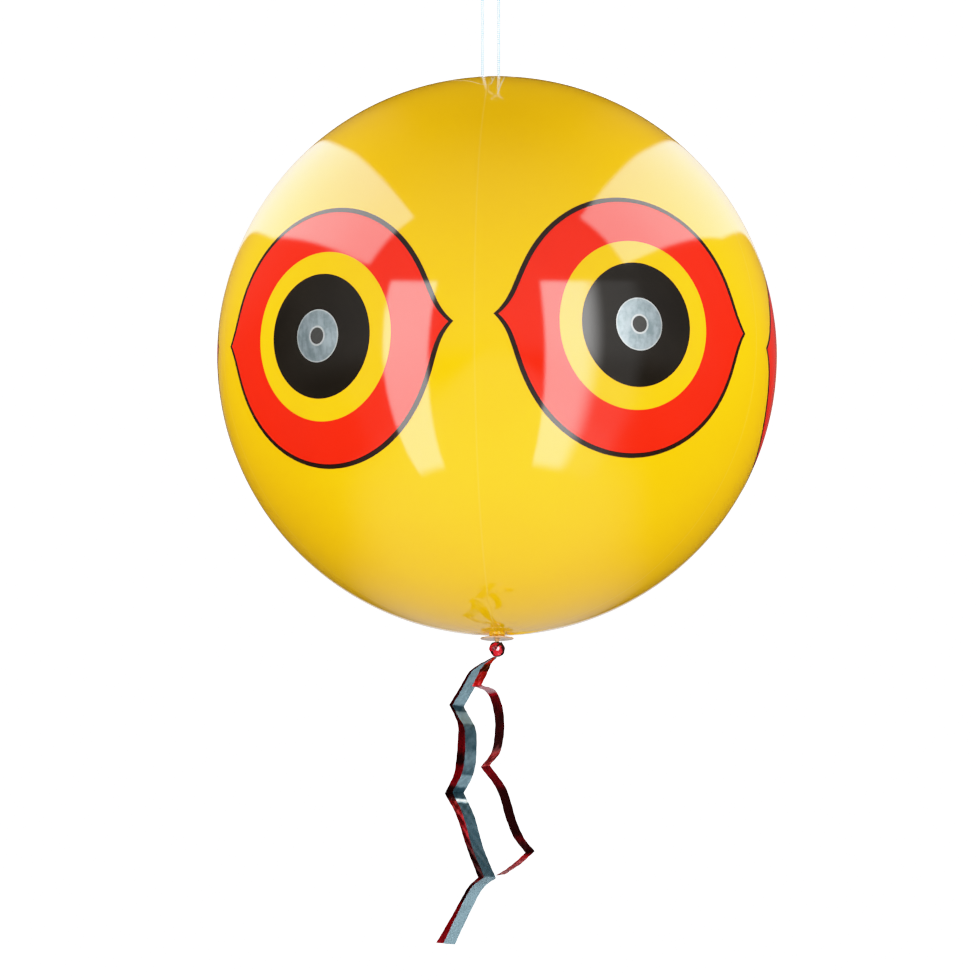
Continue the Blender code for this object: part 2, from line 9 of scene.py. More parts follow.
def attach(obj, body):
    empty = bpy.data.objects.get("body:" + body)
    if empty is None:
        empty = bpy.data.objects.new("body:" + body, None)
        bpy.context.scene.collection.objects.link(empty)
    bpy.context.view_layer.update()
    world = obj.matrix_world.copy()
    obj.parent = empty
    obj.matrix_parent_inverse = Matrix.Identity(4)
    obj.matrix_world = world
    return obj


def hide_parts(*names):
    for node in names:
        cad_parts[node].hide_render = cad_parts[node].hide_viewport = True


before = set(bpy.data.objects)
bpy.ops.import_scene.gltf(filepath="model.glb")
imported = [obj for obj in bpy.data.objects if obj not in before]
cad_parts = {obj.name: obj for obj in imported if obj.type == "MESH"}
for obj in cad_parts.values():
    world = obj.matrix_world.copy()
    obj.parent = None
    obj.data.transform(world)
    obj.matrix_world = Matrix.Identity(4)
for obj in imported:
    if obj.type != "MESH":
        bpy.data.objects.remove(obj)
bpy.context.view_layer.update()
print("frame loaded:", len(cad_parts), "nodes")

mm = 0.001
rng = np.random.default_rng(7)

# The ball, in the same frame as the solids: metres, +Z up, the front faces -Y.
ball = {
    "centre": (0.0, 0.0, -0.324),
    "radius": 200 * mm,
    "gores": 5,
    "frontSeam": math.radians(-4.6),  # turn of the seam that faces the camera
}
centre = np.array(ball["centre"])
goreTurn = 2 * math.pi / ball["gores"]

# Camera: it looks a little up at the ball, from far away with a very long lens.
camera = {
    "rise": math.radians(7.54),
    "away": 20.0,
    "seenWidth": 0.70,  # at the ball's centre
    "aimRight": -5.0 * mm,
    "aimUp": -95.7 * mm,
    "sensor": 36,
}
right = np.array([1.0, 0.0, 0.0])
up = np.array([0.0, -math.sin(camera["rise"]), math.cos(camera["rise"])])
back = np.array([0.0, -math.cos(camera["rise"]), -math.sin(camera["rise"])])


def addObject(name, data, axes=None):
    # A new object in the scene. Its axes, when given, are its x, y and z ways and its place.
    piece = bpy.data.objects.new(name, data)
    bpy.context.scene.collection.objects.link(piece)
    if axes is not None:
        piece.matrix_world = Matrix(np.vstack([np.stack(axes, 1), [0, 0, 0, 1]]).tolist())
    return piece


def lookFrom(settings):
    # The lens shows seenWidth at the ball's centre: lens = sensor * away / seenWidth.
    place = centre + right * settings["aimRight"] + up * settings["aimUp"] + back * settings["away"]
    lens = bpy.data.cameras.new("camera")
    lens.sensor_width = settings["sensor"]
    lens.lens = settings["sensor"] * settings["away"] / settings["seenWidth"]
    lens.clip_end = 5 * settings["away"]
    bpy.context.scene.camera = addObject("camera", lens, (right, up, back, place))


lookFrom(camera)
print("camera placed")


def skin(name, points, material, closeRows=False, closeColumns=False, values=None, sharp=38):
    # A grid of points (rows, columns, 3) becomes a mesh. Quads join each point to its right and lower
    # neighbours; a closed direction joins its last line back to its first. Points that fall together,
    # such as a pole or a pinched end, are merged. Values are numbers for each point, kept as attributes.
    rows, columns = points.shape[:2]
    index = np.arange(rows * columns).reshape(rows, columns)
    below = np.roll(index, -1, 0)
    beside = np.roll(index, -1, 1)
    corner = np.roll(below, -1, 1)
    quads = np.stack([index, beside, corner, below], -1)
    quads = quads[: rows if closeRows else rows - 1, : columns if closeColumns else columns - 1].reshape(-1, 4)
    flat = points.reshape(-1, 3)
    a, b, c, d = (flat[quads[:, i]] - flat.mean(0) for i in range(4))
    volume = np.einsum("ij,ij->", a, np.cross(b, c)) + np.einsum("ij,ij->", a, np.cross(c, d))
    if volume < 0:
        quads = quads[:, ::-1]
    mesh = bpy.data.meshes.new(name)
    mesh.from_pydata(flat.tolist(), [], quads.tolist())
    for key, numbers in (values or {}).items():
        attribute = mesh.attributes.new(key, "FLOAT", "POINT")
        attribute.data.foreach_set("value", np.ascontiguousarray(numbers, np.float32).ravel())
    work = bmesh.new()
    work.from_mesh(mesh)
    bmesh.ops.remove_doubles(work, verts=work.verts, dist=1e-6)
    work.to_mesh(mesh)
    work.free()
    mesh.polygons.foreach_set("use_smooth", np.ones(len(mesh.polygons), bool))
    mesh.set_sharp_from_angle(angle=math.radians(sharp))
    mesh.update()
    for one in material if isinstance(material, (list, tuple)) else [material]:
        mesh.materials.append(one)
    return addObject(name, mesh)


def seat(piece, body, node=None):
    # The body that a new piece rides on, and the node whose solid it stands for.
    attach(piece, body)
    if node:
        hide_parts(node)
    return piece


def closedSheet(upper, lower):
    # The two sides of a thin sheet as one grid: each row becomes a closed loop, and the first and last
    # rows are pinched shut.
    loop = np.concatenate([upper, lower[:, ::-1]], 1)
    middle = (upper + lower) / 2
    pinched = np.concatenate([middle, middle[:, ::-1]], 1)
    return np.concatenate([pinched[:1], loop, pinched[-1:]])


def ballWays(rows, columns):
    # Unit directions in rows from pole to pole: (sin p cos t, sin p sin t, cos p).
    polar = np.linspace(0, np.pi, rows)[:, None]
    turn = np.linspace(0, 2 * np.pi, columns, endpoint=False)[None, :]
    return np.stack([np.sin(polar) * np.cos(turn), np.sin(polar) * np.sin(turn), np.cos(polar) + 0 * turn], -1)


def smoothRoute(points, cuts):
    # Catmull-Rom: each stretch is a cubic in t through its two ends, with slopes from their neighbours.
    p = np.asarray(points, float)
    p = np.concatenate([[2 * p[0] - p[1]], p, [2 * p[-1] - p[-2]]])
    before, start, end, after = p[:-3, None], p[1:-2, None], p[2:-1, None], p[3:, None]
    t = (np.arange(cuts) / cuts)[None, :, None]
    curve = 0.5 * (
        2 * start
        + (end - before) * t
        + (2 * before - 5 * start + 4 * end - after) * t**2
        + (3 * start - before - 3 * end + after) * t**3
    )
    return np.concatenate([curve.reshape(-1, p.shape[1]), p[-2:-1]])


def routeLength(route):
    return np.concatenate([[0], np.cumsum(np.linalg.norm(np.diff(route, axis=0), axis=1))])


class Wire:
    # A socket in one material. Arithmetic on wires and numbers adds Math nodes, and make() adds any
    # other node: its settings first, then the values or wires of its sockets.
    def __init__(self, tree, socket=None):
        self.tree = tree
        self.socket = socket

    def make(self, kind, values=None, output=0, **settings):
        node = self.tree.nodes.new(kind)
        for name, value in settings.items():
            setattr(node, name, value)
        for name, value in (values or {}).items():
            if isinstance(value, Wire):
                self.tree.links.new(value.socket, node.inputs[name])
            else:
                node.inputs[name].default_value = value
        return None if output is None else Wire(self.tree, node.outputs[output])

    def maths(self, operation, *numbers):
        return self.make("ShaderNodeMath", dict(enumerate(numbers)), operation=operation)

    def __add__(self, other):
        return self.maths("ADD", self, other)

    def __radd__(self, other):
        return self.maths("ADD", other, self)

    def __sub__(self, other):
        return self.maths("SUBTRACT", self, other)

    def __rsub__(self, other):
        return self.maths("SUBTRACT", other, self)

    def __mul__(self, other):
        return self.maths("MULTIPLY", self, other)

    def __rmul__(self, other):
        return self.maths("MULTIPLY", other, self)

    def __truediv__(self, other):
        return self.maths("DIVIDE", self, other)

    def __rtruediv__(self, other):
        return self.maths("DIVIDE", other, self)

    def __pow__(self, other):
        return self.maths("POWER", self, other)

    def __neg__(self):
        return self.maths("MULTIPLY", self, -1)

    def __abs__(self):
        return self.maths("ABSOLUTE", self)

    def __gt__(self, other):
        return self.maths("GREATER_THAN", self, other)

    def smooth(self, low, high):
        reach = {"Value": self, "From Min": low, "From Max": high}
        return self.make("ShaderNodeMapRange", reach, interpolation_type="SMOOTHSTEP")

    def between(self, start, full, fading, gone):
        # Up from 0 to 1 over the first two values and down to 0 over the last two
        return self.smooth(start, full) * (1 - self.smooth(fading, gone))

    def place(self):
        return self.make("ShaderNodeTexCoord", output="Object")

    def value(self, name):
        return self.make("ShaderNodeAttribute", output="Fac", attribute_name=name)

    def noise(self, scale, detail=3.0, rough=0.5, stretch=None):
        spot = self.place()
        if stretch:
            spot = self.make("ShaderNodeVectorMath", {0: spot, 1: stretch}, operation="MULTIPLY")
        return self.make("ShaderNodeTexNoise", {"Vector": spot, "Scale": scale, "Detail": detail, "Roughness": rough})

    def mix(self, share, first, second):
        first = (*first, 1) if isinstance(first, tuple) else first
        second = (*second, 1) if isinstance(second, tuple) else second
        return self.make("ShaderNodeMix", {0: share, 6: first, 7: second}, 2, data_type="RGBA")

    def bump(self, height, strength, distance):
        return self.make("ShaderNodeBump", {"Height": height, "Strength": strength, "Distance": distance})


def finish(name, varying, **fixed):
    # A Principled material. Fixed sockets hold plain numbers, and varying(wire) gives the wired ones.
    material = bpy.data.materials.new(name)
    material.use_nodes = True
    tree = material.node_tree
    shader = tree.nodes["Principled BSDF"]
    for socket, value in fixed.items():
        shader.inputs[socket.replace("_", " ")].default_value = value
    for socket, wire in varying(Wire(tree)).items():
        tree.links.new(wire.socket, shader.inputs[socket])
    return material


def linear(red, green, blue):
    # A display colour of 0 to 255 as the shader's linear one.
    shown = np.array([red, green, blue]) / 255
    return tuple(float(c) for c in np.where(shown <= 0.04045, shown / 12.92, ((shown + 0.055) / 1.055) ** 2.4))


def hazeLook(first, second, grain, smoothest, spread, strength=0.2, depth=0.3 * mm):
    # One noise leads from the first colour to the second, and gives the roughness and the bump.
    def look(wire):
        haze = wire.noise(grain, 3)
        return {
            "Base Color": wire.mix(haze.smooth(0.3, 0.7), first, second),
            "Roughness": haze * spread + smoothest,
            "Normal": wire.bump(haze, strength, depth),
        }

    return look


def plainLook(colour, grain, smoothest):
    return hazeLook(colour, tuple(c * 0.82 for c in colour), grain, smoothest, 0.1, 0.15, 0.2 * mm)


vinyl = {
    "yellow": (1.0, 0.53, 0.003),
    "deep": (0.98, 0.51, 0.002),
    "weld": linear(255, 220, 110),
    "weldShare": 0.15,
    "smoothest": 0.04,
    "bump": (0.08, 2.0 * mm),  # strength and depth of the film's broad waves
}


def vinylLook(wire):
    cloud = wire.noise(9, 2)
    fine = wire.noise(420, 2)
    seam = wire.value("seam")
    tone = wire.mix(cloud.smooth(0.35, 0.7), vinyl["yellow"], vinyl["deep"])
    waves = wire.noise(16, 1) * 0.7 + fine * 0.015
    return {
        "Base Color": wire.mix(seam * vinyl["weldShare"], tone, vinyl["weld"]),
        "Roughness": fine * 0.02 + vinyl["smoothest"] + seam * 0.1,
        "Normal": wire.bump(waves, *vinyl["bump"]),
    }


yellowVinyl = finish("yellowVinyl", vinylLook, IOR=1.5)
# Pale cream for the film's folds, a painted highlight that makes them show as glints
foldGlintVinyl = finish("foldGlintVinyl", plainLook(linear(255, 226, 150), 400, 0.12), IOR=1.5)

# Each ink's colour, and the share of it by which it drifts in cloudy spots
inks = {
    "redInk": ((1.0, 0.018, 0.004), -0.06),
    "blackInk": (linear(22, 18, 13), 0.5),
    "lineInk": (linear(30, 17, 12), 0.4),
    "ringInk": ((1.0, 0.53, 0.004), -0.04),
}
inkBump = (0.10, 2.0 * mm)


def inkLook(colour, drift):
    def look(wire):
        cloud = wire.noise(30, 3)
        fine = wire.noise(700, 2)
        other = tuple(min(1.0, c * (1 + drift)) for c in colour)
        waves = wire.noise(16, 1) * 0.7 + fine * 0.02
        return {
            "Base Color": wire.mix((cloud * 0.7 + fine * 0.3).smooth(0.3, 0.7), colour, other),
            "Roughness": fine * 0.03 + 0.05,
            "Normal": wire.bump(waves, *inkBump),
        }

    return look


redInk, blackInk, lineInk, ringInk = (finish(name, inkLook(*ink), IOR=1.5) for name, ink in inks.items())

# Colours of the stickers, of the streamers' two sides and of the foil knot. The foils' dark colours are painted shade
# and their pale ones painted glints. Edges are the tint of a foil's gloss.
foils = {
    "sticker": linear(188, 204, 210),
    "stickerDark": linear(150, 168, 174),
    "dot": linear(58, 57, 55),
    "rim": linear(226, 232, 232),
    "silver": (0.235, 0.36, 0.42),
    "silverShadePaint": (0.014, 0.04, 0.055),
    "silverGlintPaint": (0.80, 0.90, 0.95),
    "silverEdge": (0.6, 0.85, 1.0, 1),
    "crimson": (0.50, 0.004, 0.012),
    "redShadePaint": (0.025, 0.003, 0.003),
    "redGlintPaint": (0.62, 0.36, 0.40),
    "redEdge": (1.0, 0.3, 0.35, 1),
    "knotRed": (0.62, 0.004, 0.014),
    "knotGlintPaint": (0.95, 0.62, 0.7),
}


def stickerLook(wire):
    # Blotches, and marks drawn out sideways as from brushing
    grain = wire.noise(140, 5, 0.65)
    worn = grain * 0.6 + wire.noise(60, 3, 0.6, stretch=(1, 6, 1)) * 0.4
    return {
        "Base Color": wire.mix(worn.smooth(0.38, 0.62), foils["stickerDark"], foils["sticker"]),
        "Roughness": grain * 0.2 + 0.24,
        "Normal": wire.bump(worn, 0.25, 0.3 * mm),
    }


stickerFoil = finish("stickerFoil", stickerLook, Metallic=0.85)
dotInk = finish("dotInk", plainLook(foils["dot"], 500, 0.25))
rimFoil = finish("rimFoil", plainLook(foils["rim"], 500, 0.25), Metallic=0.6)
valveVinyl = finish("valveVinyl", plainLook(linear(244, 190, 40), 300, 0.16), IOR=1.5)
plugHaze = hazeLook(linear(212, 172, 128), linear(192, 146, 96), 120, 0.12, 0.15)
plugVinyl = finish("plugVinyl", plugHaze, IOR=1.5, Transmission_Weight=0.15)
clearHaze = hazeLook(linear(250, 252, 253), linear(232, 238, 242), 160, 0.04, 0.12)
clearVinyl = finish("clearVinyl", clearHaze, IOR=1.45, Transmission_Weight=1.0)


def cordLook(wire):
    # The grooves between the twisted plies are painted blue, a painted shade in the recesses, and the plies
    # themselves clear.
    haze = wire.noise(200, 3)
    return {
        "Base Color": wire.mix(wire.value("plyShade").smooth(0.6, 0.95), linear(112, 164, 200), linear(226, 234, 238)),
        "Roughness": haze * 0.1 + 0.04,
        "Normal": wire.bump(haze, 0.2, 0.1 * mm),
    }


clearCord = finish("clearCord", cordLook, IOR=1.4, Transmission_Weight=0.8)


def foilLook(light, dark, pale, smoothest):
    # Stretches of painted shade, of the lit colour and of painted pale glints follow the "tone" attribute at 0, 1 and
    # 2, broken up by fine creases.
    def look(wire):
        creases = wire.noise(130, 4, 0.6)
        fine = wire.noise(900, 3)
        facets = wire.make("ShaderNodeTexVoronoi", {"Vector": wire.place(), "Scale": 220}, feature="F1")
        share = wire.value("tone") + (creases - 0.5) * 0.5 + (fine - 0.5) * 0.06
        return {
            "Base Color": wire.mix(share.smooth(1.2, 1.8), wire.mix(share.smooth(0.05, 0.95), dark, light), pale),
            "Roughness": creases * 0.12 + fine * 0.06 + smoothest,
            "Normal": wire.bump(facets * 0.3 + creases * 0.7, 0.1, 0.5 * mm),
        }

    return look


silverFoil = finish(
    "silverFoil", foilLook(foils["silver"], foils["silverShadePaint"], foils["silverGlintPaint"], 0.24),
    Metallic=0.1, IOR=1.25, Specular_Tint=foils["silverEdge"], Specular_IOR_Level=0.25,
)
redFoil = finish(
    "redFoil", foilLook(foils["crimson"], foils["redShadePaint"], foils["redGlintPaint"], 0.16),
    Metallic=0.6, IOR=1.25, Specular_Tint=foils["redEdge"],
)
knotFoil = finish(
    "knotFoil", foilLook(foils["knotRed"], foils["redShadePaint"], foils["knotGlintPaint"], 0.1), Metallic=0.2, IOR=1.45
)
print("materials made")

cord = {
    "radius": 1.3 * mm,
    "pitch": 2.8 * mm,  # of the twist of its two plies
    "strandsX": (-10.3 * mm, 1.3 * mm),
    "endZ": -121.9 * mm,
    "straightToZ": -64 * mm,
    "knotZ": -24 * mm,
    "knotRadius": 4.2 * mm,
    "entryX": 1.6 * mm,
    "gap": 0.3 * mm,
    # From a straight run to the knot: the share of the way over, and of the way up
    "taper": ((0.07, 0.2), (0.21, 0.4), (0.4, 0.6), (0.67, 0.8), (1, 1)),
    # Half of the loop, out and up, as shares of the knot's drop
    "loop": ((0.13, 0.31), (0.22, 0.46), (0.28, 0.63), (0.285, 0.79), (0.23, 0.93), (0.125, 1.03)),
}
entryLift = math.sqrt((cord["knotRadius"] + 2 * cord["gap"]) ** 2 - cord["entryX"] ** 2)


def twistedCord(name, route, steps=28):
    # A section carried along the route, square to the route's slope: two round plies side by side,
    # r = radius * |cos(turn - 2 pi s / pitch)| and at least 0.45 * radius, that twist as the length s
    # grows. Both ends close in a low dome.
    radius, pitch = cord["radius"], cord["pitch"]
    slope = np.gradient(route, axis=0)
    slope /= np.linalg.norm(slope, axis=1, keepdims=True)
    across = np.cross(slope, (0, 1, 0))
    across /= np.linalg.norm(across, axis=1, keepdims=True)
    other = np.cross(slope, across)
    turns = np.linspace(0, 2 * np.pi, steps, endpoint=False)
    twist = 2 * np.pi * routeLength(route)[:, None] / pitch
    reach = radius * np.maximum(0.45, np.abs(np.cos(turns - twist)))
    spread = np.cos(turns)[:, None] * across[:, None] + np.sin(turns)[:, None] * other[:, None]
    body = route[:, None] + spread * reach[..., None]
    caps = []
    for end, sign in ((0, -1), (-1, 1)):
        rings = [route[end] + (body[end] - route[end]) * share + sign * slope[end] * lift * radius
                 for share, lift in ((0.9, 0.08), (0.6, 0.22), (0, 0.3))]
        caps.append(np.stack(rings))
    grid = np.concatenate([caps[0][::-1], body, caps[1]])
    # The ply's reach, by which the grooves are painted blue as shade
    plyShade = np.concatenate([reach[:1]] * 3 + [reach] + [reach[-1:]] * 3) / radius
    return skin(name, grid, clearCord, closeColumns=True, values={"plyShade": plyShade}, sharp=60)


def strand(name, side, x, node):
    # Straight up from the pad, then a smooth sweep over to the knot.
    straight = np.linspace(cord["endZ"], cord["straightToZ"], 5)
    taper = np.array(cord["taper"])
    over = side * cord["entryX"] - x
    rise = cord["knotZ"] - entryLift - cord["straightToZ"]
    xs = np.concatenate([np.full(len(straight), x), x + over * taper[:, 0]])
    zs = np.concatenate([straight, cord["straightToZ"] + rise * taper[:, 1]])
    route = smoothRoute(np.stack([xs, np.zeros(len(xs)), zs], 1), 56)
    return seat(twistedCord(name, route), "strands", node), route


def knotBall():
    # Cords wrapped round a core: three bands on tilted great circles, each half round in section. A
    # point's distance is the largest of the bands', and each weaves in and out along its way.
    radius, rope = cord["knotRadius"], cord["radius"]
    way = ballWays(73, 96)
    reach = np.full(way.shape[:2], radius * 0.62)
    weaveDepth = radius * 0.07
    for tilt, lean in ((0.5, 0.0), (1.35, 2.2), (2.2, 4.3)):
        pole = np.array([math.sin(tilt) * math.cos(lean), math.sin(tilt) * math.sin(lean), math.cos(tilt)])
        first = np.cross(pole, [0.3, 0.9, 0.1])
        first /= np.linalg.norm(first)
        angle = np.arctan2(way @ np.cross(pole, first), way @ first)
        off = (way @ pole) * radius * 0.8
        height = np.sqrt(np.clip(rope**2 - off**2, 0, None))
        weave = weaveDepth * np.cos(3 * angle + lean)
        band = np.where(height > 0, radius - rope - weaveDepth + weave + height, 0)
        reach = np.maximum(reach, band)
    points = way * reach[..., None] + np.array([0, 0, cord["knotZ"]])
    # The dips between the bands are painted blue as shade, by their reach
    return skin("strandKnot", points, clearCord, closeColumns=True, values={"plyShade": reach / radius}, sharp=80)


strandRight, rightRoute = strand("strandRight", 1, cord["strandsX"][1], "cord_right")
strandLeft, leftRoute = strand("strandLeft", -1, cord["strandsX"][0], "cord_left")
knot = seat(knotBall(), "knot", "cord_knot")
drop = -cord["knotZ"]
half = np.array([[x * drop, 0, (z - 1) * drop] for x, z in cord["loop"]])
half = np.concatenate([[[cord["entryX"], 0, entryLift - drop]], half])
loopPlaces = np.concatenate([half, [[0, 0, cord["radius"]]], half[::-1] * np.array([-1, 1, 1])])
loopRoute = smoothRoute(loopPlaces, 22)
hangLoop = seat(twistedCord("hangLoop", loopRoute), "loop", "cord_loop")
for piece, route in ((strandRight, rightRoute), (strandLeft, leftRoute), (hangLoop, loopRoute)):
    route[::11].tolist() + [route[-1].tolist()]

gore = {
    "film": 0.25 * mm,
    "poleRadius": 6.0 * mm,
    "weldWidth": 0.45 * mm,
    "weldDip": 0.05 * mm,
    "pleatStart": 3 * mm,
    "pleatReach": 14 * mm,
    "pleatDepth": 0.25 * mm,
    "creaseTurn": math.radians(92),  # the crease beside the valve
    "creaseReach": (6 * mm, 41 * mm),
    "creaseEnds": (4 * mm, 24 * mm),  # over which it rises and fades
    "creaseWidth": 1.5 * mm,
    "creaseHeight": 1.1 * mm,
}


def goreGrid(start, rows=181, columns=61):
    # Turn and polar angle run over the panel, closer together at its edges. The distance from the
    # ball's centre is its radius, less a groove exp(-(d/width)^2) along each weld, plus pleats that
    # fade away from the poles as exp(-d/reach), plus a crease exp(-(c/width)^2) beside the valve.
    tip = math.asin(gore["poleRadius"] / ball["radius"])
    u = 0.5 - 0.5 * np.cos(np.linspace(0, np.pi, columns))
    v = np.linspace(0, 1, rows)
    v = 0.5 * v + 0.5 * (0.5 - 0.5 * np.cos(np.pi * v))
    polar = (tip + (math.pi - 2 * tip) * v)[:, None]
    turn = (start + goreTurn * u)[None, :]
    edge = ball["radius"] * np.sin(polar) * goreTurn * np.minimum(u, 1 - u)[None, :]
    weld = np.exp(-((edge / gore["weldWidth"]) ** 2))
    toPole = ball["radius"] * np.minimum(polar - tip, math.pi - tip - polar)
    pleats = np.exp(-toPole / gore["pleatReach"]) * (1 - np.exp(-toPole / gore["pleatStart"]))
    ripple = np.sin(23 * turn + 2 * np.sin(3 * turn)) + 0.6 * np.sin(41 * turn + 1)
    near, far = gore["creaseReach"]
    rising, fading = gore["creaseEnds"]
    out = ball["radius"] * (math.pi - polar)
    off = ball["radius"] * np.sin(polar) * np.sin(turn - gore["creaseTurn"])
    crease = np.exp(-((off / gore["creaseWidth"]) ** 2)) * (np.cos(turn - gore["creaseTurn"]) > 0)
    crease = crease * np.clip((out - near) / rising, 0, 1) * np.clip((far - out) / fading, 0, 1)
    reach = ball["radius"] - gore["weldDip"] * weld + gore["pleatDepth"] * pleats * ripple * 0.5
    reach = reach + gore["creaseHeight"] * crease
    way = np.stack([np.sin(polar) * np.sin(turn), -np.sin(polar) * np.cos(turn), np.cos(polar) + 0 * turn], -1)
    return centre + way * reach[..., None], weld


for number in range(1, ball["gores"] + 1):
    outer, weld = goreGrid(ball["frontSeam"] + goreTurn * (number - 1))
    away = outer - centre
    inner = centre + away * (1 - gore["film"] / np.linalg.norm(away, axis=-1, keepdims=True))
    seam = np.concatenate([weld, weld[:, ::-1]], 1)
    seam = np.concatenate([seam[:1], seam, seam[-1:]])
    grid = closedSheet(outer, inner)
    panel = skin(f"gorePanel{number}", grid, yellowVinyl, closeColumns=True, values={"seam": seam})
    seat(panel, "ball", f"gore_{number}")

# Fine folds in the film near the top, painted a pale cream so that they show as glints: painted highlights on low
# beads. Each fold's width, and its places across and up from the ball's centre as the camera sees them, all in mm.
topFolds = {
    "foldLeft": (0.8, (-44.1, 195.7), (-30.9, 196.4), (-20.7, 196.0), (-15.7, 194.8), (-11.3, 193.5), (-4.7, 193.2)),
    "foldRight": (1.2, (5.5, 199.4), (4.6, 197.2), (3.3, 194.6), (1.8, 190.8), (0.4, 186.2)),
    "foldNotchLeft": (1.0, (-3.9, 199.6), (-3.6, 197.8), (-3.2, 196.2), (-4.4, 193.4)),
    "foldNotchRight": (0.8, (-1.9, 199.6), (-2.2, 197.8), (-2.9, 196.1)),
    "foldRim": (0.9, (-13.6, 198.7), (-4.0, 199.25), (4.8, 199.35), (16.4, 198.6)),
}
foldHeight = 0.12 * mm
foldSink = 0.05 * mm


def filmFold(name, places, width):
    # A low bead on the film. Its route is dropped on the ball along the camera's line of sight, and its
    # height is foldHeight * sqrt(1 - c^2), with c from -1 to 1 across it and both narrowing to its ends.
    flat = smoothRoute(np.array(places) * mm, 10)
    deep = np.sqrt(np.clip(ball["radius"] ** 2 - (flat**2).sum(1), 0, None))
    way = flat[:, :1] * right + flat[:, 1:] * up + deep[:, None] * back
    way /= np.linalg.norm(way, axis=1, keepdims=True)
    side = np.cross(np.gradient(way, axis=0), way)
    side /= np.linalg.norm(side, axis=1, keepdims=True)
    c = np.linspace(-1, 1, 9)
    narrow = np.sqrt(np.clip(np.sin(np.linspace(0.03, math.pi - 0.03, len(way))), 0, 1))[:, None]
    spot = way[:, None] + side[:, None] * (c * width / 2 / ball["radius"] * narrow)[..., None]
    spot /= np.linalg.norm(spot, axis=-1, keepdims=True)
    height = foldHeight * np.sqrt(np.clip(1 - c**2, 0, 1)) * narrow
    top = centre + spot * (ball["radius"] + height)[..., None]
    under = centre + spot * (ball["radius"] - foldSink)
    # The bead takes the pale fold colour, a painted highlight
    bead = skin(name, closedSheet(top, under), foldGlintVinyl, closeColumns=True)
    seat(bead, "ball")


for name, (width, *places) in topFolds.items():
    filmFold(name, places, width * mm)
print("gores made")

eye = {
    "round": 96.16 * mm,
    "tipReach": 13 * mm,
    "tipSpread": math.radians(6.5),
    "tipRise": 3.8 * mm,
    "line": 3.7 * mm,
    "lineOut": 0.45 * mm,  # how far it spreads past the round outline
    "ring": 61.0 * mm,
    "pupil": 44.8 * mm,
    "sticker": 18.8 * mm,
    "stickerRim": 0.7 * mm,
    "dot": 5.9 * mm,
    "dotRim": 1.3 * mm,
    "ink": 0.05 * mm,
    "overlap": 0.4 * mm,  # of the red under the outline
    "ringOverlaps": (0.3 * mm, 0.15 * mm),  # of the ring under the pupil and over the red
    # Where each print lies on its gore, across and up, and its bull's eye off that
    "places": ((-0.028, -0.008), (0.045, -0.07), (0.0, 0.0), (-0.045, -0.01), (0.013, -0.069)),
    "bulls": ((-0.012, 0.0), (0.0, 0.0), (0.0, 0.0), (0.0, 0.0), (0.022, 0.0)),
}
tipTurn = math.atan2(eye["tipRise"], eye["round"] + eye["tipReach"])


def eyeTurns(count=110):
    # Turns round the eye in two halves, from tip to tip, closer together near the tips.
    ease = 0.5 - 0.5 * np.cos(np.linspace(0, np.pi, count, endpoint=False))
    over = tipTurn + (math.pi - 2 * tipTurn) * ease
    under = math.pi - tipTurn + (math.pi + 2 * tipTurn) * ease
    return np.concatenate([over, under])


def outlineReach(turns):
    # round + tipReach * exp(-off / spread), with off the turn to the nearer tip
    off = np.minimum(*[np.abs((turns - t + np.pi) % (2 * np.pi) - np.pi) for t in (tipTurn, math.pi - tipTurn)])
    return eye["round"] + eye["tipReach"] * np.exp(-off / eye["tipSpread"])


def eyeFrame(number, place):
    # The eye's own axes as columns: to its right, up along the film, and straight out.
    middle = ball["frontSeam"] + goreTurn * (number - 0.5)
    across, rise = (share * eye["round"] / ball["radius"] for share in place)
    turn = middle + across
    out = np.array([math.sin(turn) * math.cos(rise), -math.cos(turn) * math.cos(rise), math.sin(rise)])
    beside = np.array([math.cos(turn), math.sin(turn), 0])
    return np.stack([beside, np.cross(out, beside), out], 1)


def onBall(lengths, turns, frameTurn):
    # A film length out from the eye's centre, at a turn, as a point on the ball.
    angle = lengths / ball["radius"]
    local = np.stack([np.sin(angle) * np.cos(turns), np.sin(angle) * np.sin(turns), np.cos(angle) + 0 * turns], -1)
    return centre + (local @ frameTurn.T) * ball["radius"]


def inkLayer(name, lines, material, lift, depth):
    # A film between closed lines on the ball, with its underside back along the same lines.
    outer = np.stack(lines)
    away = outer - centre
    top = centre + away * (1 + lift / ball["radius"])
    under = centre + away * (1 + (lift - depth) / ball["radius"])
    grid = np.concatenate([top, under[::-1]])
    return skin(name, grid, material, closeRows=True, closeColumns=True, sharp=30)


def circles(sizes, turns, frameTurn):
    return [onBall(np.full(len(turns), size), turns, frameTurn) for size in sizes]


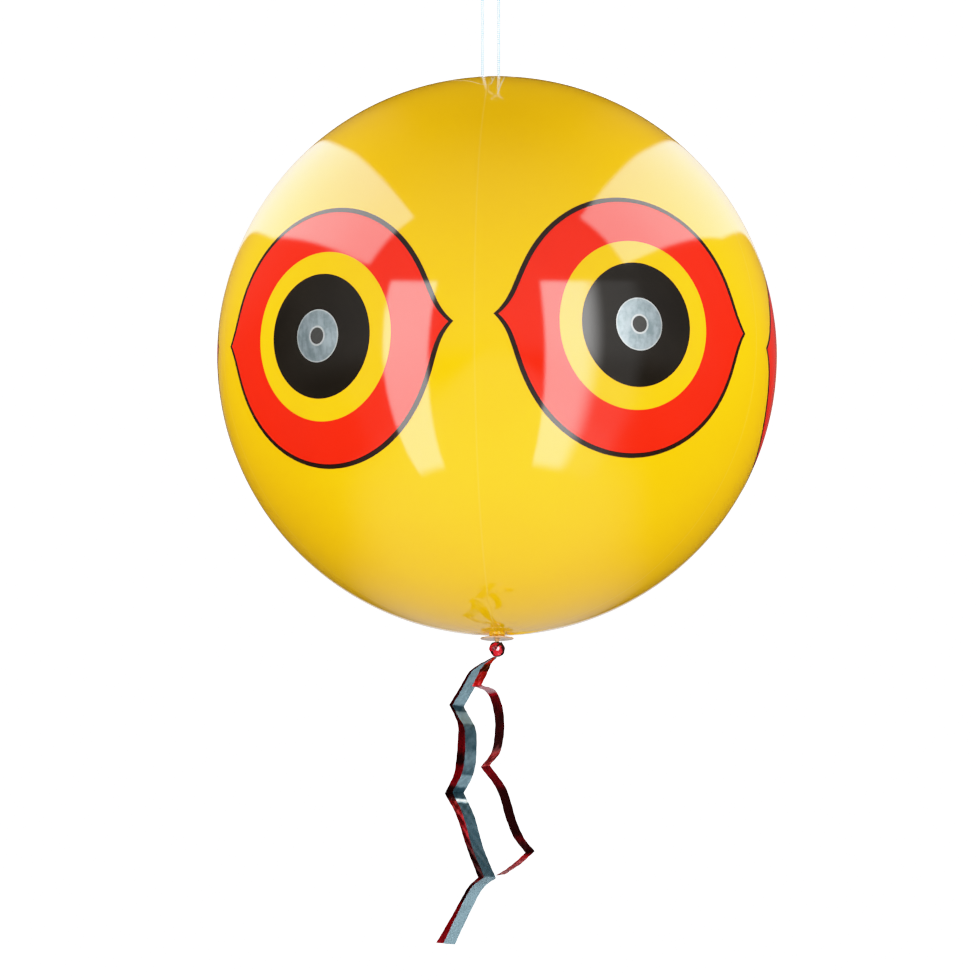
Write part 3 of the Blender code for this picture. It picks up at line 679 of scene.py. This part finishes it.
def printedEye(number):
    # The prints and the sticker, as layers of some lift and depth in thicknesses of the ink.
    turns = eyeTurns()
    place = eye["places"][number - 1]
    bull = eye["bulls"][number - 1]
    eyeTurned = eyeFrame(number, place)
    bullTurned = eyeFrame(number, (place[0] + bull[0], place[1] + bull[1]))
    outer = outlineReach(turns) + eye["lineOut"]
    inner = outer - eye["line"]
    hole = circles([eye["ring"]], turns, bullTurned)[0]
    field = onBall(inner + eye["overlap"], turns, eyeTurned)
    bands = np.stack([hole + (field - hole) * share for share in np.linspace(0, 1, 14)]) - centre
    bands = centre + bands / np.linalg.norm(bands, axis=-1, keepdims=True) * ball["radius"]
    edges = [onBall(inner + eye["line"] * share, turns, eyeTurned) for share in (0, 0.06, 0.5, 0.94, 1)]
    under, over = eye["ringOverlaps"]
    rings = circles(np.linspace(eye["pupil"] - under, eye["ring"] + over, 8), turns, bullTurned)
    discs = circles(np.linspace(0, eye["pupil"], 14), turns, bullTurned)
    foil = np.linspace(eye["dot"] + eye["dotRim"], eye["sticker"] - eye["stickerRim"], 5)
    rounds = circles([0, 3 * mm, eye["dot"], *foil, eye["sticker"]], turns, bullTurned)
    layers = (
        ("eyeField", bands, redInk, 1.2, 1, "red_ink", "eye_red"),
        ("eyeOutline", edges, lineInk, 2.4, 1, "black_ink", "eye_outline"),
        ("eyeRing", rings, ringInk, 2.4, 1, "ring_ink", "eye_ring"),
        ("eyePupil", discs, blackInk, 3.6, 1, "black_ink", "eye_pupil"),
        ("eyeSticker", rounds, [stickerFoil, dotInk, rimFoil], 8, 2, "sticker_foil", "eye_sticker"),
    )
    for name, lines, material, lift, depth, slot, node in layers:
        layer = inkLayer(f"{name}{number}", lines, material, lift * eye["ink"], depth * eye["ink"])
        seat(layer, "ball", f"{node}_{number}")
    colourByReach(layer, bullTurned)


def faceVectors(piece, kind):
    vectors = np.zeros(len(piece.data.polygons) * 3)
    piece.data.polygons.foreach_get(kind, vectors)
    return vectors.reshape(-1, 3)


def colourByReach(piece, frameTurn):
    # Faces take the dot's, the rims' or the foil's material by their distance from the eye's centre.
    away = faceVectors(piece, "center") - centre
    away /= np.linalg.norm(away, axis=1, keepdims=True)
    reach = np.arccos(np.clip(away @ frameTurn[:, 2], -1, 1)) * ball["radius"]
    kind = np.zeros(len(reach), np.int32)
    kind[reach < eye["dot"] + eye["dotRim"]] = 2
    kind[reach > eye["sticker"] - eye["stickerRim"]] = 2
    kind[reach < eye["dot"]] = 1
    piece.data.polygons.foreach_set("material_index", kind)


for number in range(1, ball["gores"] + 1):
    printedEye(number)
print("eyes printed")

hang = {
    "patch": 15.5 * mm,
    "patchFilm": 0.4 * mm,
    "lift": 0.7 * mm,
    "padSize": (18.6 * mm, 8 * mm, 0.8 * mm),
    "padX": -4.5 * mm,
    "padZ": -122.6 * mm,
}


def turnedShape(name, profile, material, place=(0, 0, 0), steps=72):
    # A profile of (radius, height) turned about Z: x = r cos t, y = r sin t.
    profile = np.asarray(profile, float)
    t = np.linspace(0, 2 * np.pi, steps, endpoint=False)
    r = profile[:, :1]
    points = np.stack([r * np.cos(t), r * np.sin(t), profile[:, 1:] + 0 * t], -1) + np.array(place)
    return skin(name, points, material, closeColumns=True)


def capLine(shell, sizes):
    # Points on a sphere at these distances from its axis: z = sqrt(shell^2 - r^2)
    sizes = np.asarray(sizes, float)
    return np.stack([sizes, np.sqrt(shell**2 - sizes**2)], 1)


over = capLine(ball["radius"] + hang["lift"], np.linspace(0, hang["patch"], 14))
under = capLine(ball["radius"] + hang["lift"] - hang["patchFilm"], np.linspace(hang["patch"], 0, 14))
edge = [[hang["patch"] + 0.12 * mm, (over[-1, 1] + under[0, 1]) / 2]]
hangDisc = turnedShape("hangDisc", np.concatenate([over, edge, under]), clearVinyl, place=centre)
seat(hangDisc, "ball", "hang_patch")


def strandPad():
    # A flat slab with round ends and softened rims: a slot outline carried down a rounded edge, whose
    # steps are (share of the outline, share of the thickness).
    long, wide, thick = hang["padSize"]
    t = np.linspace(0, 2 * np.pi, 72, endpoint=False)
    x = np.cos(t) * wide / 2 + np.sign(np.cos(t)) * (long - wide) / 2
    y = np.sin(t) * wide / 2
    shape = np.stack([x, y], 1)
    steps = [(0, 0.5), (0.8, 0.5), (0.96, 0.5), (0.99, 0.42), (1, 0.25)]
    steps += [(s, -h) for s, h in reversed(steps)]
    rows = [np.concatenate([shape * s, np.full((len(t), 1), h * thick)], 1) for s, h in steps]
    points = np.stack(rows) + np.array([hang["padX"], 0, hang["padZ"]])
    return skin("strandPad", points, clearVinyl, closeColumns=True)


seat(strandPad(), "ball", "hang_pad")

# All in mm
valve = {
    "stemRadius": 5.7,
    "bore": 4.2,
    "stemTop": -510,
    "stemBottom": -526.6,
    "flange": 16,
    "flangeShells": (197.95, 198.75),  # its two sides' distances from the ball's centre
    "plugTop": -526.9,
    "plugDisc": 12,
    "discThick": 1.0,
    "shank": 3.9,
    "shankLong": 12,
    "lug": 1.5,
    "lugEnd": -531.5,
}


def valveStem():
    # Down the outside: the inner end, the flange that follows the ball, and the lower rim, which has a
    # rounded bead, a waist and another bead, as moulded.
    r, b, z0, top, wide = (valve[key] for key in ("stemRadius", "bore", "stemBottom", "stemTop", "flange"))
    (inAtStem, outAtStem), (inAtRim, outAtRim) = (
        [centre[2] / mm - math.sqrt(shell**2 - radius**2) for shell in valve["flangeShells"]] for radius in (r, wide)
    )
    profile = [
        (b, top), (r - 0.3, top), (r, top - 0.3), (r, inAtStem + 0.2), (r + 0.4, inAtStem),
        (wide - 0.2, inAtRim), (wide, inAtRim - 0.3), (wide, outAtRim), (r, outAtStem),
        (r, z0 + 1.75), (r, z0 + 1.6), (r - 0.22, z0 + 1.35), (r - 0.25, z0 + 1.1), (r - 0.02, z0 + 0.85),
        (r, z0 + 0.5), (r - 0.1, z0 + 0.15), (r - 0.35, z0), (b + 0.25, z0), (b, z0 + 0.25), (b, top),
    ]
    return turnedShape("valveStem", np.array(profile) * mm, valveVinyl, steps=96)


seat(valveStem(), "ball", "valve_stem")


def valvePlug():
    # The shank from its tip down, the disc, and the lug below it.
    s, d, lug = valve["shank"], valve["plugDisc"], valve["lug"]
    top, end = valve["plugTop"], valve["lugEnd"]
    tip = top + valve["shankLong"]
    under = top - valve["discThick"]
    profile = [
        (0, tip), (s - 0.9, tip), (s - 0.2, tip - 0.6), (s, tip - 1.2), (s, top + 0.4), (s + 0.1, top),
        (d - 0.3, top), (d, top - 0.25), (d, under + 0.3), (d - 0.3, under),
        (lug + 0.6, under), (lug, under - 0.5), (lug, end + 0.3), (lug - 0.3, end), (0, end),
    ]
    return turnedShape("valvePlug", np.array(profile) * mm, plugVinyl, steps=96)


seat(valvePlug(), "plug", "valve_plug")
# These solids keep their own shapes and take the same materials.
for name, material in (("top_patch", yellowVinyl), ("bottom_patch", yellowVinyl), ("valve_flap", valveVinyl)):
    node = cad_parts[name]
    node.data.materials.clear()
    node.data.materials.append(material)
print("valve and patches made")

tail = {
    "knotZ": -534.6 * mm,
    "knotRadius": 6.2 * mm,
    "facets": 70,
    "facetDepths": (0.84, 0.96),  # as shares of the knot's radius
    "fineFolds": 0.02,
    "mouth": 3.4 * mm,  # radius of the opening for the lug, wide enough for the tail's swing
    "mouthWall": 1.5 * mm,
    "mouthUnder": 0.6 * mm,  # from the lug's end down to the opening's floor
    # glint and glintTone make one facet pale: a painted highlight
    "glint": (0.1, -0.95, -0.05),  # way that the palest facet faces
    "glintTone": 1.7,
    "gap": 0.3 * mm,  # from the knot to the streamers' ends
    "width": 10 * mm,
    "film": 0.12 * mm,
    "pitch": 70 * mm,
    "gatherDrop": 9 * mm,
    "gatherWidth": 3 * mm,
    "crinkle": 0.11 * mm,
    "crinkleStart": 8 * mm,
}


def foilKnot():
    # A ball crushed by random planes: its reach is the least of the planes' distances over the cosine to each plane,
    # which gives flat facets with sharp folds. Each facet has a tone of its own, drawn at random, and the facet that
    # faces glint is painted pale as a highlight. It stays whole underneath, where the streamers start, and open
    # above, where the lug goes in.
    way = ballWays(97, 128)
    normals = rng.normal(size=(tail["facets"], 3))
    normals /= np.linalg.norm(normals, axis=1, keepdims=True)
    depth = tail["knotRadius"] * rng.uniform(*tail["facetDepths"], tail["facets"])
    distance = depth / np.clip(way @ normals.T, 0.05, None)
    reach = np.minimum(distance.min(-1), tail["knotRadius"])
    kept = np.clip((-way[..., 2] - 0.7) / 0.2, 0, 1)
    reach = reach * (1 - kept) + tail["knotRadius"] * 0.995 * kept
    folds = np.abs(np.sin(9 * way[..., 0] + 5 * way[..., 2]) * np.cos(8 * way[..., 1] - 6 * way[..., 2]))
    reach = reach * (1 - tail["fineFolds"] * folds * (1 - np.clip(-way[..., 2], 0, 1) ** 2))
    points = way * reach[..., None] + np.array([0, 0, tail["knotZ"]])
    away = np.hypot(points[..., 0], points[..., 1])
    inside = (points[..., 2] > tail["knotZ"]) & (away < tail["mouth"])
    floor = valve["lugEnd"] * mm - tail["mouthUnder"]
    share = np.clip((tail["mouth"] - away) / tail["mouthWall"], 0, 1)
    points[..., 2] = np.where(inside, points[..., 2] * (1 - share) + floor * share, points[..., 2])
    tones = rng.uniform(-0.1, 1.1, tail["facets"])
    facet = distance.argmin(-1)
    # The facet nearest the glint way is painted pale, a painted highlight
    tones[facet.ravel()[(way @ tail["glint"]).argmax()]] = tail["glintTone"]
    return skin("foilKnot", points, knotFoil, closeColumns=True, values={"tone": tones[facet]}, sharp=24)


seat(foilKnot(), "tail", "tail_knot")

# Panels between folds: back across the crease, and down, as shares of the fold pitch. Tones run down each strip as
# (drop in mm, tone), where 0 is painted shade and dark reflection, 1 the lit foil and 2 a painted pale glint.
pair = {"body": "pair", "turn": math.radians(35), "along": -3.5 * mm}
streamers = {
    "streamerFront": {
        **pair, "node": "streamer_front", "start": 1.8 * mm, "faces": (silverFoil, redFoil), "slot": "silver_foil",
        "panels": (
            ((0, 0), (0.23, -0.18), (0.43, -0.36), (0.62, -0.53)),
            ((0.62, -0.53), (0.51, -0.66), (0.41, -0.78), (0.39, -0.94), (0.41, -1.14), (0.47, -1.27), (0.62, -1.42)),
            ((0.62, -1.42), (0.43, -1.68), (0.27, -2.02), (0.05, -2.35)),
            ((0.05, -2.35), (0.29, -2.44), (0.55, -2.70), (0.78, -2.96)),
        ),
        "tones": ((0, 0.5), (36, 0.6), (37.5, 0.12), (41, 0.12), (42.5, 0.6), (50.5, 0.6), (52, 0.2), (69, 0.2),
                  (72, 0.35), (84, 0.3), (87.5, 0.2), (88.5, 0.6), (95, 0.55), (97, 0.05), (104, 0), (105, 2),
                  (106.5, 1.9), (107.5, -0.2), (122, -0.2), (125, 0.2), (129, 0.1), (133, -0.2), (163, -0.2),
                  (165, 0.75), (207, 0.75)),
    },
    "streamerRear": {
        **pair, "node": "streamer_rear", "start": 3.0 * mm, "faces": (redFoil, silverFoil), "slot": "red_foil",
        "panels": (
            ((0, 0), (0.27, -0.17), (0.48, -0.35), (0.68, -0.52)),
            ((0.68, -0.52), (0.58, -0.64), (0.52, -0.76), (0.53, -0.93), (0.56, -1.13), (0.61, -1.26), (0.76, -1.42)),
            ((0.76, -1.42), (0.55, -1.67), (0.37, -2.01), (0.165, -2.34)),
            ((0.165, -2.34), (0.35, -2.43), (0.63, -2.69), (0.91, -2.94)),
        ),
        "tones": ((0, 0.3), (46, 0.3), (52, 0.5), (68, 0.55), (74, 0.1), (78, 0.1), (82, 0.7), (92, 0.8), (95, 0.1),
                  (103, 0.1), (106, 0.45), (132, 0.45), (145, 0.1), (163, 0.1), (165, 0.6), (169, 0), (178, 0),
                  (180, 0.6), (206, 0.65)),
    },
    "streamerSide": {
        "body": "side", "turn": math.radians(-48), "along": -0.4 * mm, "node": "streamer_side", "start": -1.8 * mm,
        "faces": (redFoil, silverFoil), "slot": "red_foil",
        "panels": (
            ((0, 0), (-0.13, -0.18), (-0.20, -0.29), (-0.27, -0.40)),
            ((-0.27, -0.40), (-0.06, -0.46), (0.04, -0.72), (0.0, -1.04), (-0.155, -1.22)),
            ((-0.155, -1.22), (0.07, -1.44), (0.20, -1.74), (0.31, -1.92), (0.46, -2.05)),
            ((0.46, -2.05), (0.26, -2.20), (0.05, -2.32)),
        ),
        "tones": ((4, 1.0), (10.5, 1.0), (12.5, 0.1), (17, 0.1), (18, 0.5), (24, 0.5), (25, 0.9), (28, 0.9), (29, 2),
                  (32, 1.6), (34, 0.35), (44, 0.22), (47, 0.1), (72, 0.08), (76, 0.3), (85, 0.35), (90, 0.5),
                  (98, 0.35), (103, 0), (130, 0), (135, 0.35), (140, 0), (144, 0.1), (148, 1.3), (165, 1.6)),
    },
}


def panelLine(look):
    # The strip's side view in (across, height): a smooth curve in each panel, and a sharp fold between.
    top = -math.sqrt((tail["knotRadius"] + tail["gap"]) ** 2 - look["start"] ** 2)
    lines = []
    for number, panel in enumerate(look["panels"]):
        places = np.array(panel, float) * tail["pitch"]
        if number == 0:
            places[0] = (look["start"], top)
        lines.append(smoothRoute(places, 12)[0 if number == 0 else 1:])
    return np.concatenate(lines)


def streamer(name, look):
    # The side view is carried along the crease. Crinkles move the film along its own normal by a sum of
    # slanted waves, and above gatherDrop the strip narrows to its gathered width.
    line = panelLine(look)
    along = np.array([math.cos(look["turn"]), math.sin(look["turn"]), 0])
    across = np.array([-math.sin(look["turn"]), math.cos(look["turn"]), 0])
    v = np.linspace(-0.5, 0.5, 21)[None, :]
    distance = routeLength(line)[:, None]
    slope = np.gradient(line, axis=0)
    slope /= np.linalg.norm(slope, axis=1, keepdims=True)
    normal2 = np.stack([slope[:, 1], -slope[:, 0]], 1)
    s, w = distance / mm, v * tail["width"] / mm
    waves = np.sin(0.9 * s + 1.1 * w) + 0.8 * np.sin(0.37 * s - 0.9 * w + 1)
    waves = waves + 0.7 * np.abs(np.sin(0.6 * s + 0.5 * w + 2))
    waves = waves * tail["crinkle"] * np.clip(distance / tail["crinkleStart"], 0, 1)
    spread = np.minimum(1, (line[0, 1] - line[:, 1]) / tail["gatherDrop"])[:, None]
    width = tail["gatherWidth"] + (tail["width"] - tail["gatherWidth"]) * spread
    offset = v * width + look["along"] * spread
    sheets = []
    for side in (0.5, -0.5):
        push = waves + side * tail["film"]
        a = line[:, :1] + normal2[:, :1] * push
        z = line[:, 1:] + normal2[:, 1:] * push
        sheets.append(across * a[..., None] + along * offset[..., None] + np.array([0, 0, 1.0]) * z[..., None])
    grid = closedSheet(*(sheet + np.array([0, 0, tail["knotZ"]]) for sheet in sheets))
    # The painted shade, reflections and glints of the tones, set down the strip by its drop
    tone = np.interp(-line[:, 1] / mm, *np.array(look["tones"]).T)
    tone = np.repeat(np.concatenate([tone[:1], tone, tone[-1:]])[:, None], grid.shape[1], 1)
    piece = skin(name, grid, list(look["faces"]), closeColumns=True, values={"tone": tone}, sharp=26)
    colourBySide(piece, across)
    seat(piece, look["body"], look["node"])


def colourBySide(piece, across):
    # The faces on the strip's front side take the first foil and those on its back the second.
    facing = faceVectors(piece, "normal") @ across
    piece.data.polygons.foreach_set("material_index", (facing > 0).astype(np.int32))


for name, look in streamers.items():
    streamer(name, look)
print("tail made")

stage = {
    "floorZ": -3.2,
    "reach": 45.0,
    "pale": (0.86, 0.86, 0.85),
    "glow": (0.9, 0.9, 0.89, 1),
    "glowStrength": 1.9,
}


def floorLook(wire):
    grain = wire.noise(2, 3)
    return {"Base Color": wire.mix(grain.smooth(0.3, 0.7), stage["pale"], tuple(0.97 * c for c in stage["pale"]))}


def paleFloor():
    # One square, lit evenly by its own glow so that it stays pale to its far edge. From below it is
    # clear, so that the ball can be looked at from there.
    r, z = stage["reach"], stage["floorZ"]
    mesh = bpy.data.meshes.new("floor")
    mesh.from_pydata([(-r, -r, z), (r, -r, z), (r, r, z), (-r, r, z)], [], [(0, 1, 2, 3)])
    piece = addObject("floor", mesh)
    glow = {"Emission_Color": stage["glow"], "Emission_Strength": stage["glowStrength"]}
    mesh.materials.append(finish("paleFloor", floorLook, Roughness=0.8, **glow))
    floor = Wire(mesh.materials[0].node_tree)
    surface = floor.tree.nodes["Material Output"].inputs["Surface"]
    lit = Wire(floor.tree, surface.links[0].from_socket)
    under = floor.make("ShaderNodeNewGeometry", output="Backfacing")
    both = floor.make("ShaderNodeMixShader", {0: under, 1: lit, 2: floor.make("ShaderNodeBsdfTransparent")})
    floor.tree.links.new(both.socket, surface)
    piece.visible_diffuse = False
    piece.visible_glossy = False


paleFloor()


def softLight(name, middle, widthWay, heightWay, size, radiance):
    # A lit rectangle that faces the ball's centre. Its power is radiance * 4 * area. It shades and adds no
    # gloss, which comes from the studio's air alone.
    widthWay = np.array(widthWay, float) / np.linalg.norm(widthWay)
    heightWay = np.array(heightWay, float) / np.linalg.norm(heightWay)
    facing = np.cross(widthWay, heightWay)
    place = centre + np.array(middle, float)
    if facing @ (place - centre) < 0:
        widthWay, facing = -widthWay, -facing
    light = bpy.data.lights.new(name, "AREA")
    light.shape = "RECTANGLE"
    light.size, light.size_y = size
    light.energy = radiance * 4 * size[0] * size[1]
    lamp = addObject(name, light, (widthWay, heightWay, facing, place))
    lamp.visible_camera = False
    lamp.visible_glossy = False


# Each light: its middle from the ball's centre, the ways of its width and height, its size and radiance.
lights = {
    "lowLeft": ((-2.2, -2.2, -1.4), (1, -1, 0), (0, 0, 1), (2.26, 2.0), 5.7),
    "lowRight": ((2.2, -2.2, -1.4), (1, 1, 0), (0, 0, 1), (2.26, 2.0), 6.6),
    "left": ((-3, -0.4, 0), (0, 1, 0), (0, 0, 1), (2.5, 2.5), 1.4),
    "right": ((3, -0.4, 0), (0, 1, 0), (0, 0, 1), (2.5, 2.5), 1.1),
    "highLeft": ((-1.8, 1.0, 1.7), (0, 1, 0), (1, 0, 1), (3.0, 1.2), 4.7),
    "highRight": ((1.8, 1.0, 1.7), (0, 1, 0), (-1, 0, 1), (3.0, 1.2), 4.7),
    "top": ((0, -0.6, 2.6), (1, 0, 0), (0, 1, 0), (3.0, 3.0), 0.2),
    "front": ((0, -3.0, 1.0), (1, 0, 0), (0, 0.3, 1), (2.0, 1.6), 1.1),
    "back": ((0, 3.2, -0.4), (1, 0, 0), (0, 0, 1), (3.0, 3.0), 3.0),
}
for name, settings in lights.items():
    softLight(name, *settings)

# What gloss sees round the ball. Turns and rises are in degrees, from the front and from level. A range of
# two is where something starts to show and where it is full, and its last two are where it fades and ends.
studio = {
    "room": 0.02,
    "seen": 1.75,  # what the camera sees
    "backdrop": 0.85,  # straight behind, up to just over the horizon
    "backdropFrom": (0.989, 0.998),
    "backdropTop": (0.135, 0.17),
    "wall": 0.34,  # dim, high in front
    "wallFrom": (-0.35, 0.7),
    "sweep": (0.48, 0.14),  # pale, below, and how much brighter it is towards the front
    "sweepFrom": (0.02, 0.2),
    "longBox": (5.1, 4.8),  # over the left and right shoulder, from in front to far behind
    "longEdges": (0.645, 1.56),  # its lower and upper sides, as rise over run, and how they spread behind
    "longSpread": (0.17, 0.18),
    "longFrom": (-0.53, -0.47),
    "longFade": 1.15,
    "halo": (0.1, 0.07),  # round the left and the right long box, at the sides and behind
    "haloRises": (0.1, 0.5, 2.0, 3.5),
    "haloFrom": (-0.3, 0.5),
    "tallBox": 7.2,  # in front, to the left and right
    "tallTop": 23,
    "tallRises": (-54.5, -49, 21.8, 24.2),
    "leftTurns": (-46.5, -26),
    "leftLeans": (0.053, 0.093),
    "rightTurns": (18.5, 61),
    "rightLean": -0.046,
    "rightFade": (35, 46, 0.93),  # from and to these turns, by this share
}


def studioAir():
    # The camera, and what it sees through clear pieces, gets white. Gloss gets, for a direction (x, y, z):
    # the sweep where |x| / -z is small, the wall where -y and z are large, the long boxes between two rises
    # z / |x| past b = y / sqrt(x^2 + z^2), spreading and fading as 1 / (1 + (b / 1.15)^1.2) behind, and the
    # tall boxes between two turns and two rises, the right one fading towards its right side.
    world = bpy.data.worlds.new("studio")
    bpy.context.scene.world = world
    world.use_nodes = True
    world.node_tree.nodes.clear()
    air = Wire(world.node_tree)
    node = air.make("ShaderNodeSeparateXYZ", {0: air.make("ShaderNodeTexCoord", output="Generated")}).socket.node
    x, y, z = (Wire(world.node_tree, node.outputs[i]) for i in range(3))

    def sides(pair):
        return x.smooth(-0.1, 0.1) * (pair[1] - pair[0]) + pair[0]

    wide = abs(x)
    below = -z
    front = 1 - y.smooth(-0.2, 0.6)
    off = wide / below.maths("MAXIMUM", below, 0.02)
    base, more = studio["sweep"]
    sweep = (front * more + base) * below.smooth(*studio["sweepFrom"])
    sweep = sweep * (1 - off.smooth(front * 0.3 + 0.3, front * 0.5 + 1.0))
    wall = (-y).smooth(*studio["wallFrom"]) * (1 - below.smooth(0, 0.2)) * studio["wall"]

    rise = z / wide.maths("MAXIMUM", wide, 0.001)
    run = y / (x * x + z * z) ** 0.5
    far = run.maths("MAXIMUM", run - 0.7, 0)
    low, high = studio["longEdges"]
    lower = rise - far * studio["longSpread"][0]
    upper = rise - far**1.5 * studio["longSpread"][1]
    long = lower.smooth(low * 0.97, low * 1.03) * (1 - upper.smooth(high * 0.97, high * 1.03))
    long = long * run.smooth(*studio["longFrom"]) * sides(studio["longBox"])
    long = long / (run.maths("MAXIMUM", run / studio["longFade"], 0) ** 1.2 + 1)
    halo = rise.between(*studio["haloRises"]) * run.smooth(*studio["haloFrom"]) * sides(studio["halo"])

    turn = x.maths("ARCTAN2", x, -y) * (180 / math.pi)
    lift = z.maths("ARCSINE", z) * (180 / math.pi)
    rows = lift.between(*studio["tallRises"]) * (lift.smooth(-50, 5) * 0.2 + 0.8) * studio["tallBox"]
    lean = lift - studio["tallTop"]
    inner, outer = studio["leftTurns"]
    innerLean, outerLean = studio["leftLeans"]
    left = (turn - lean * innerLean).smooth(inner - 1, inner + 1)
    left = left * (1 - (turn - lean * outerLean).smooth(outer - 1, outer + 1))
    inner, outer = studio["rightTurns"]
    right = (turn - lean * studio["rightLean"]).smooth(inner - 1, inner + 1)
    right = right * (1 - turn.smooth(outer - 5, outer + 5))
    start, end, share = studio["rightFade"]
    tall = (left + right * (1 - turn.smooth(start, end) * share)) * rows

    drop = y.smooth(*studio["backdropFrom"]) * (1 - z.smooth(*studio["backdropTop"])) * studio["backdrop"]
    glow = sweep + wall + long + tall + halo + drop + studio["room"]
    white = (1, 1, 1, 1)
    inGloss = air.make("ShaderNodeBackground", {"Color": white, "Strength": glow})
    seen = air.make("ShaderNodeBackground", {"Color": white, "Strength": studio["seen"]})
    glossy = air.make("ShaderNodeLightPath", output="Glossy Depth") > 0.5
    mixed = air.make("ShaderNodeMixShader", {0: glossy, 1: seen, 2: inGloss})
    air.make("ShaderNodeOutputWorld", {"Surface": mixed}, None)
    world.cycles_visibility.diffuse = False


studioAir()
# A soft shoulder, as film has: light of 0.6 shows as it is, and stronger light ever less so up to white.
shoulder = ((0.6, 0.592), (0.8, 0.735), (0.97, 0.84), (1.2, 0.935), (1.4, 0.975))
brightest = 1.7
view = bpy.context.scene.view_settings
view.view_transform = "Standard"
view.use_curve_mapping = True
view.curve_mapping.white_level = (brightest,) * 3
for light, shown in shoulder:
    view.curve_mapping.curves[3].points.new(light / brightest, shown)
view.curve_mapping.update()
print("studio lit")
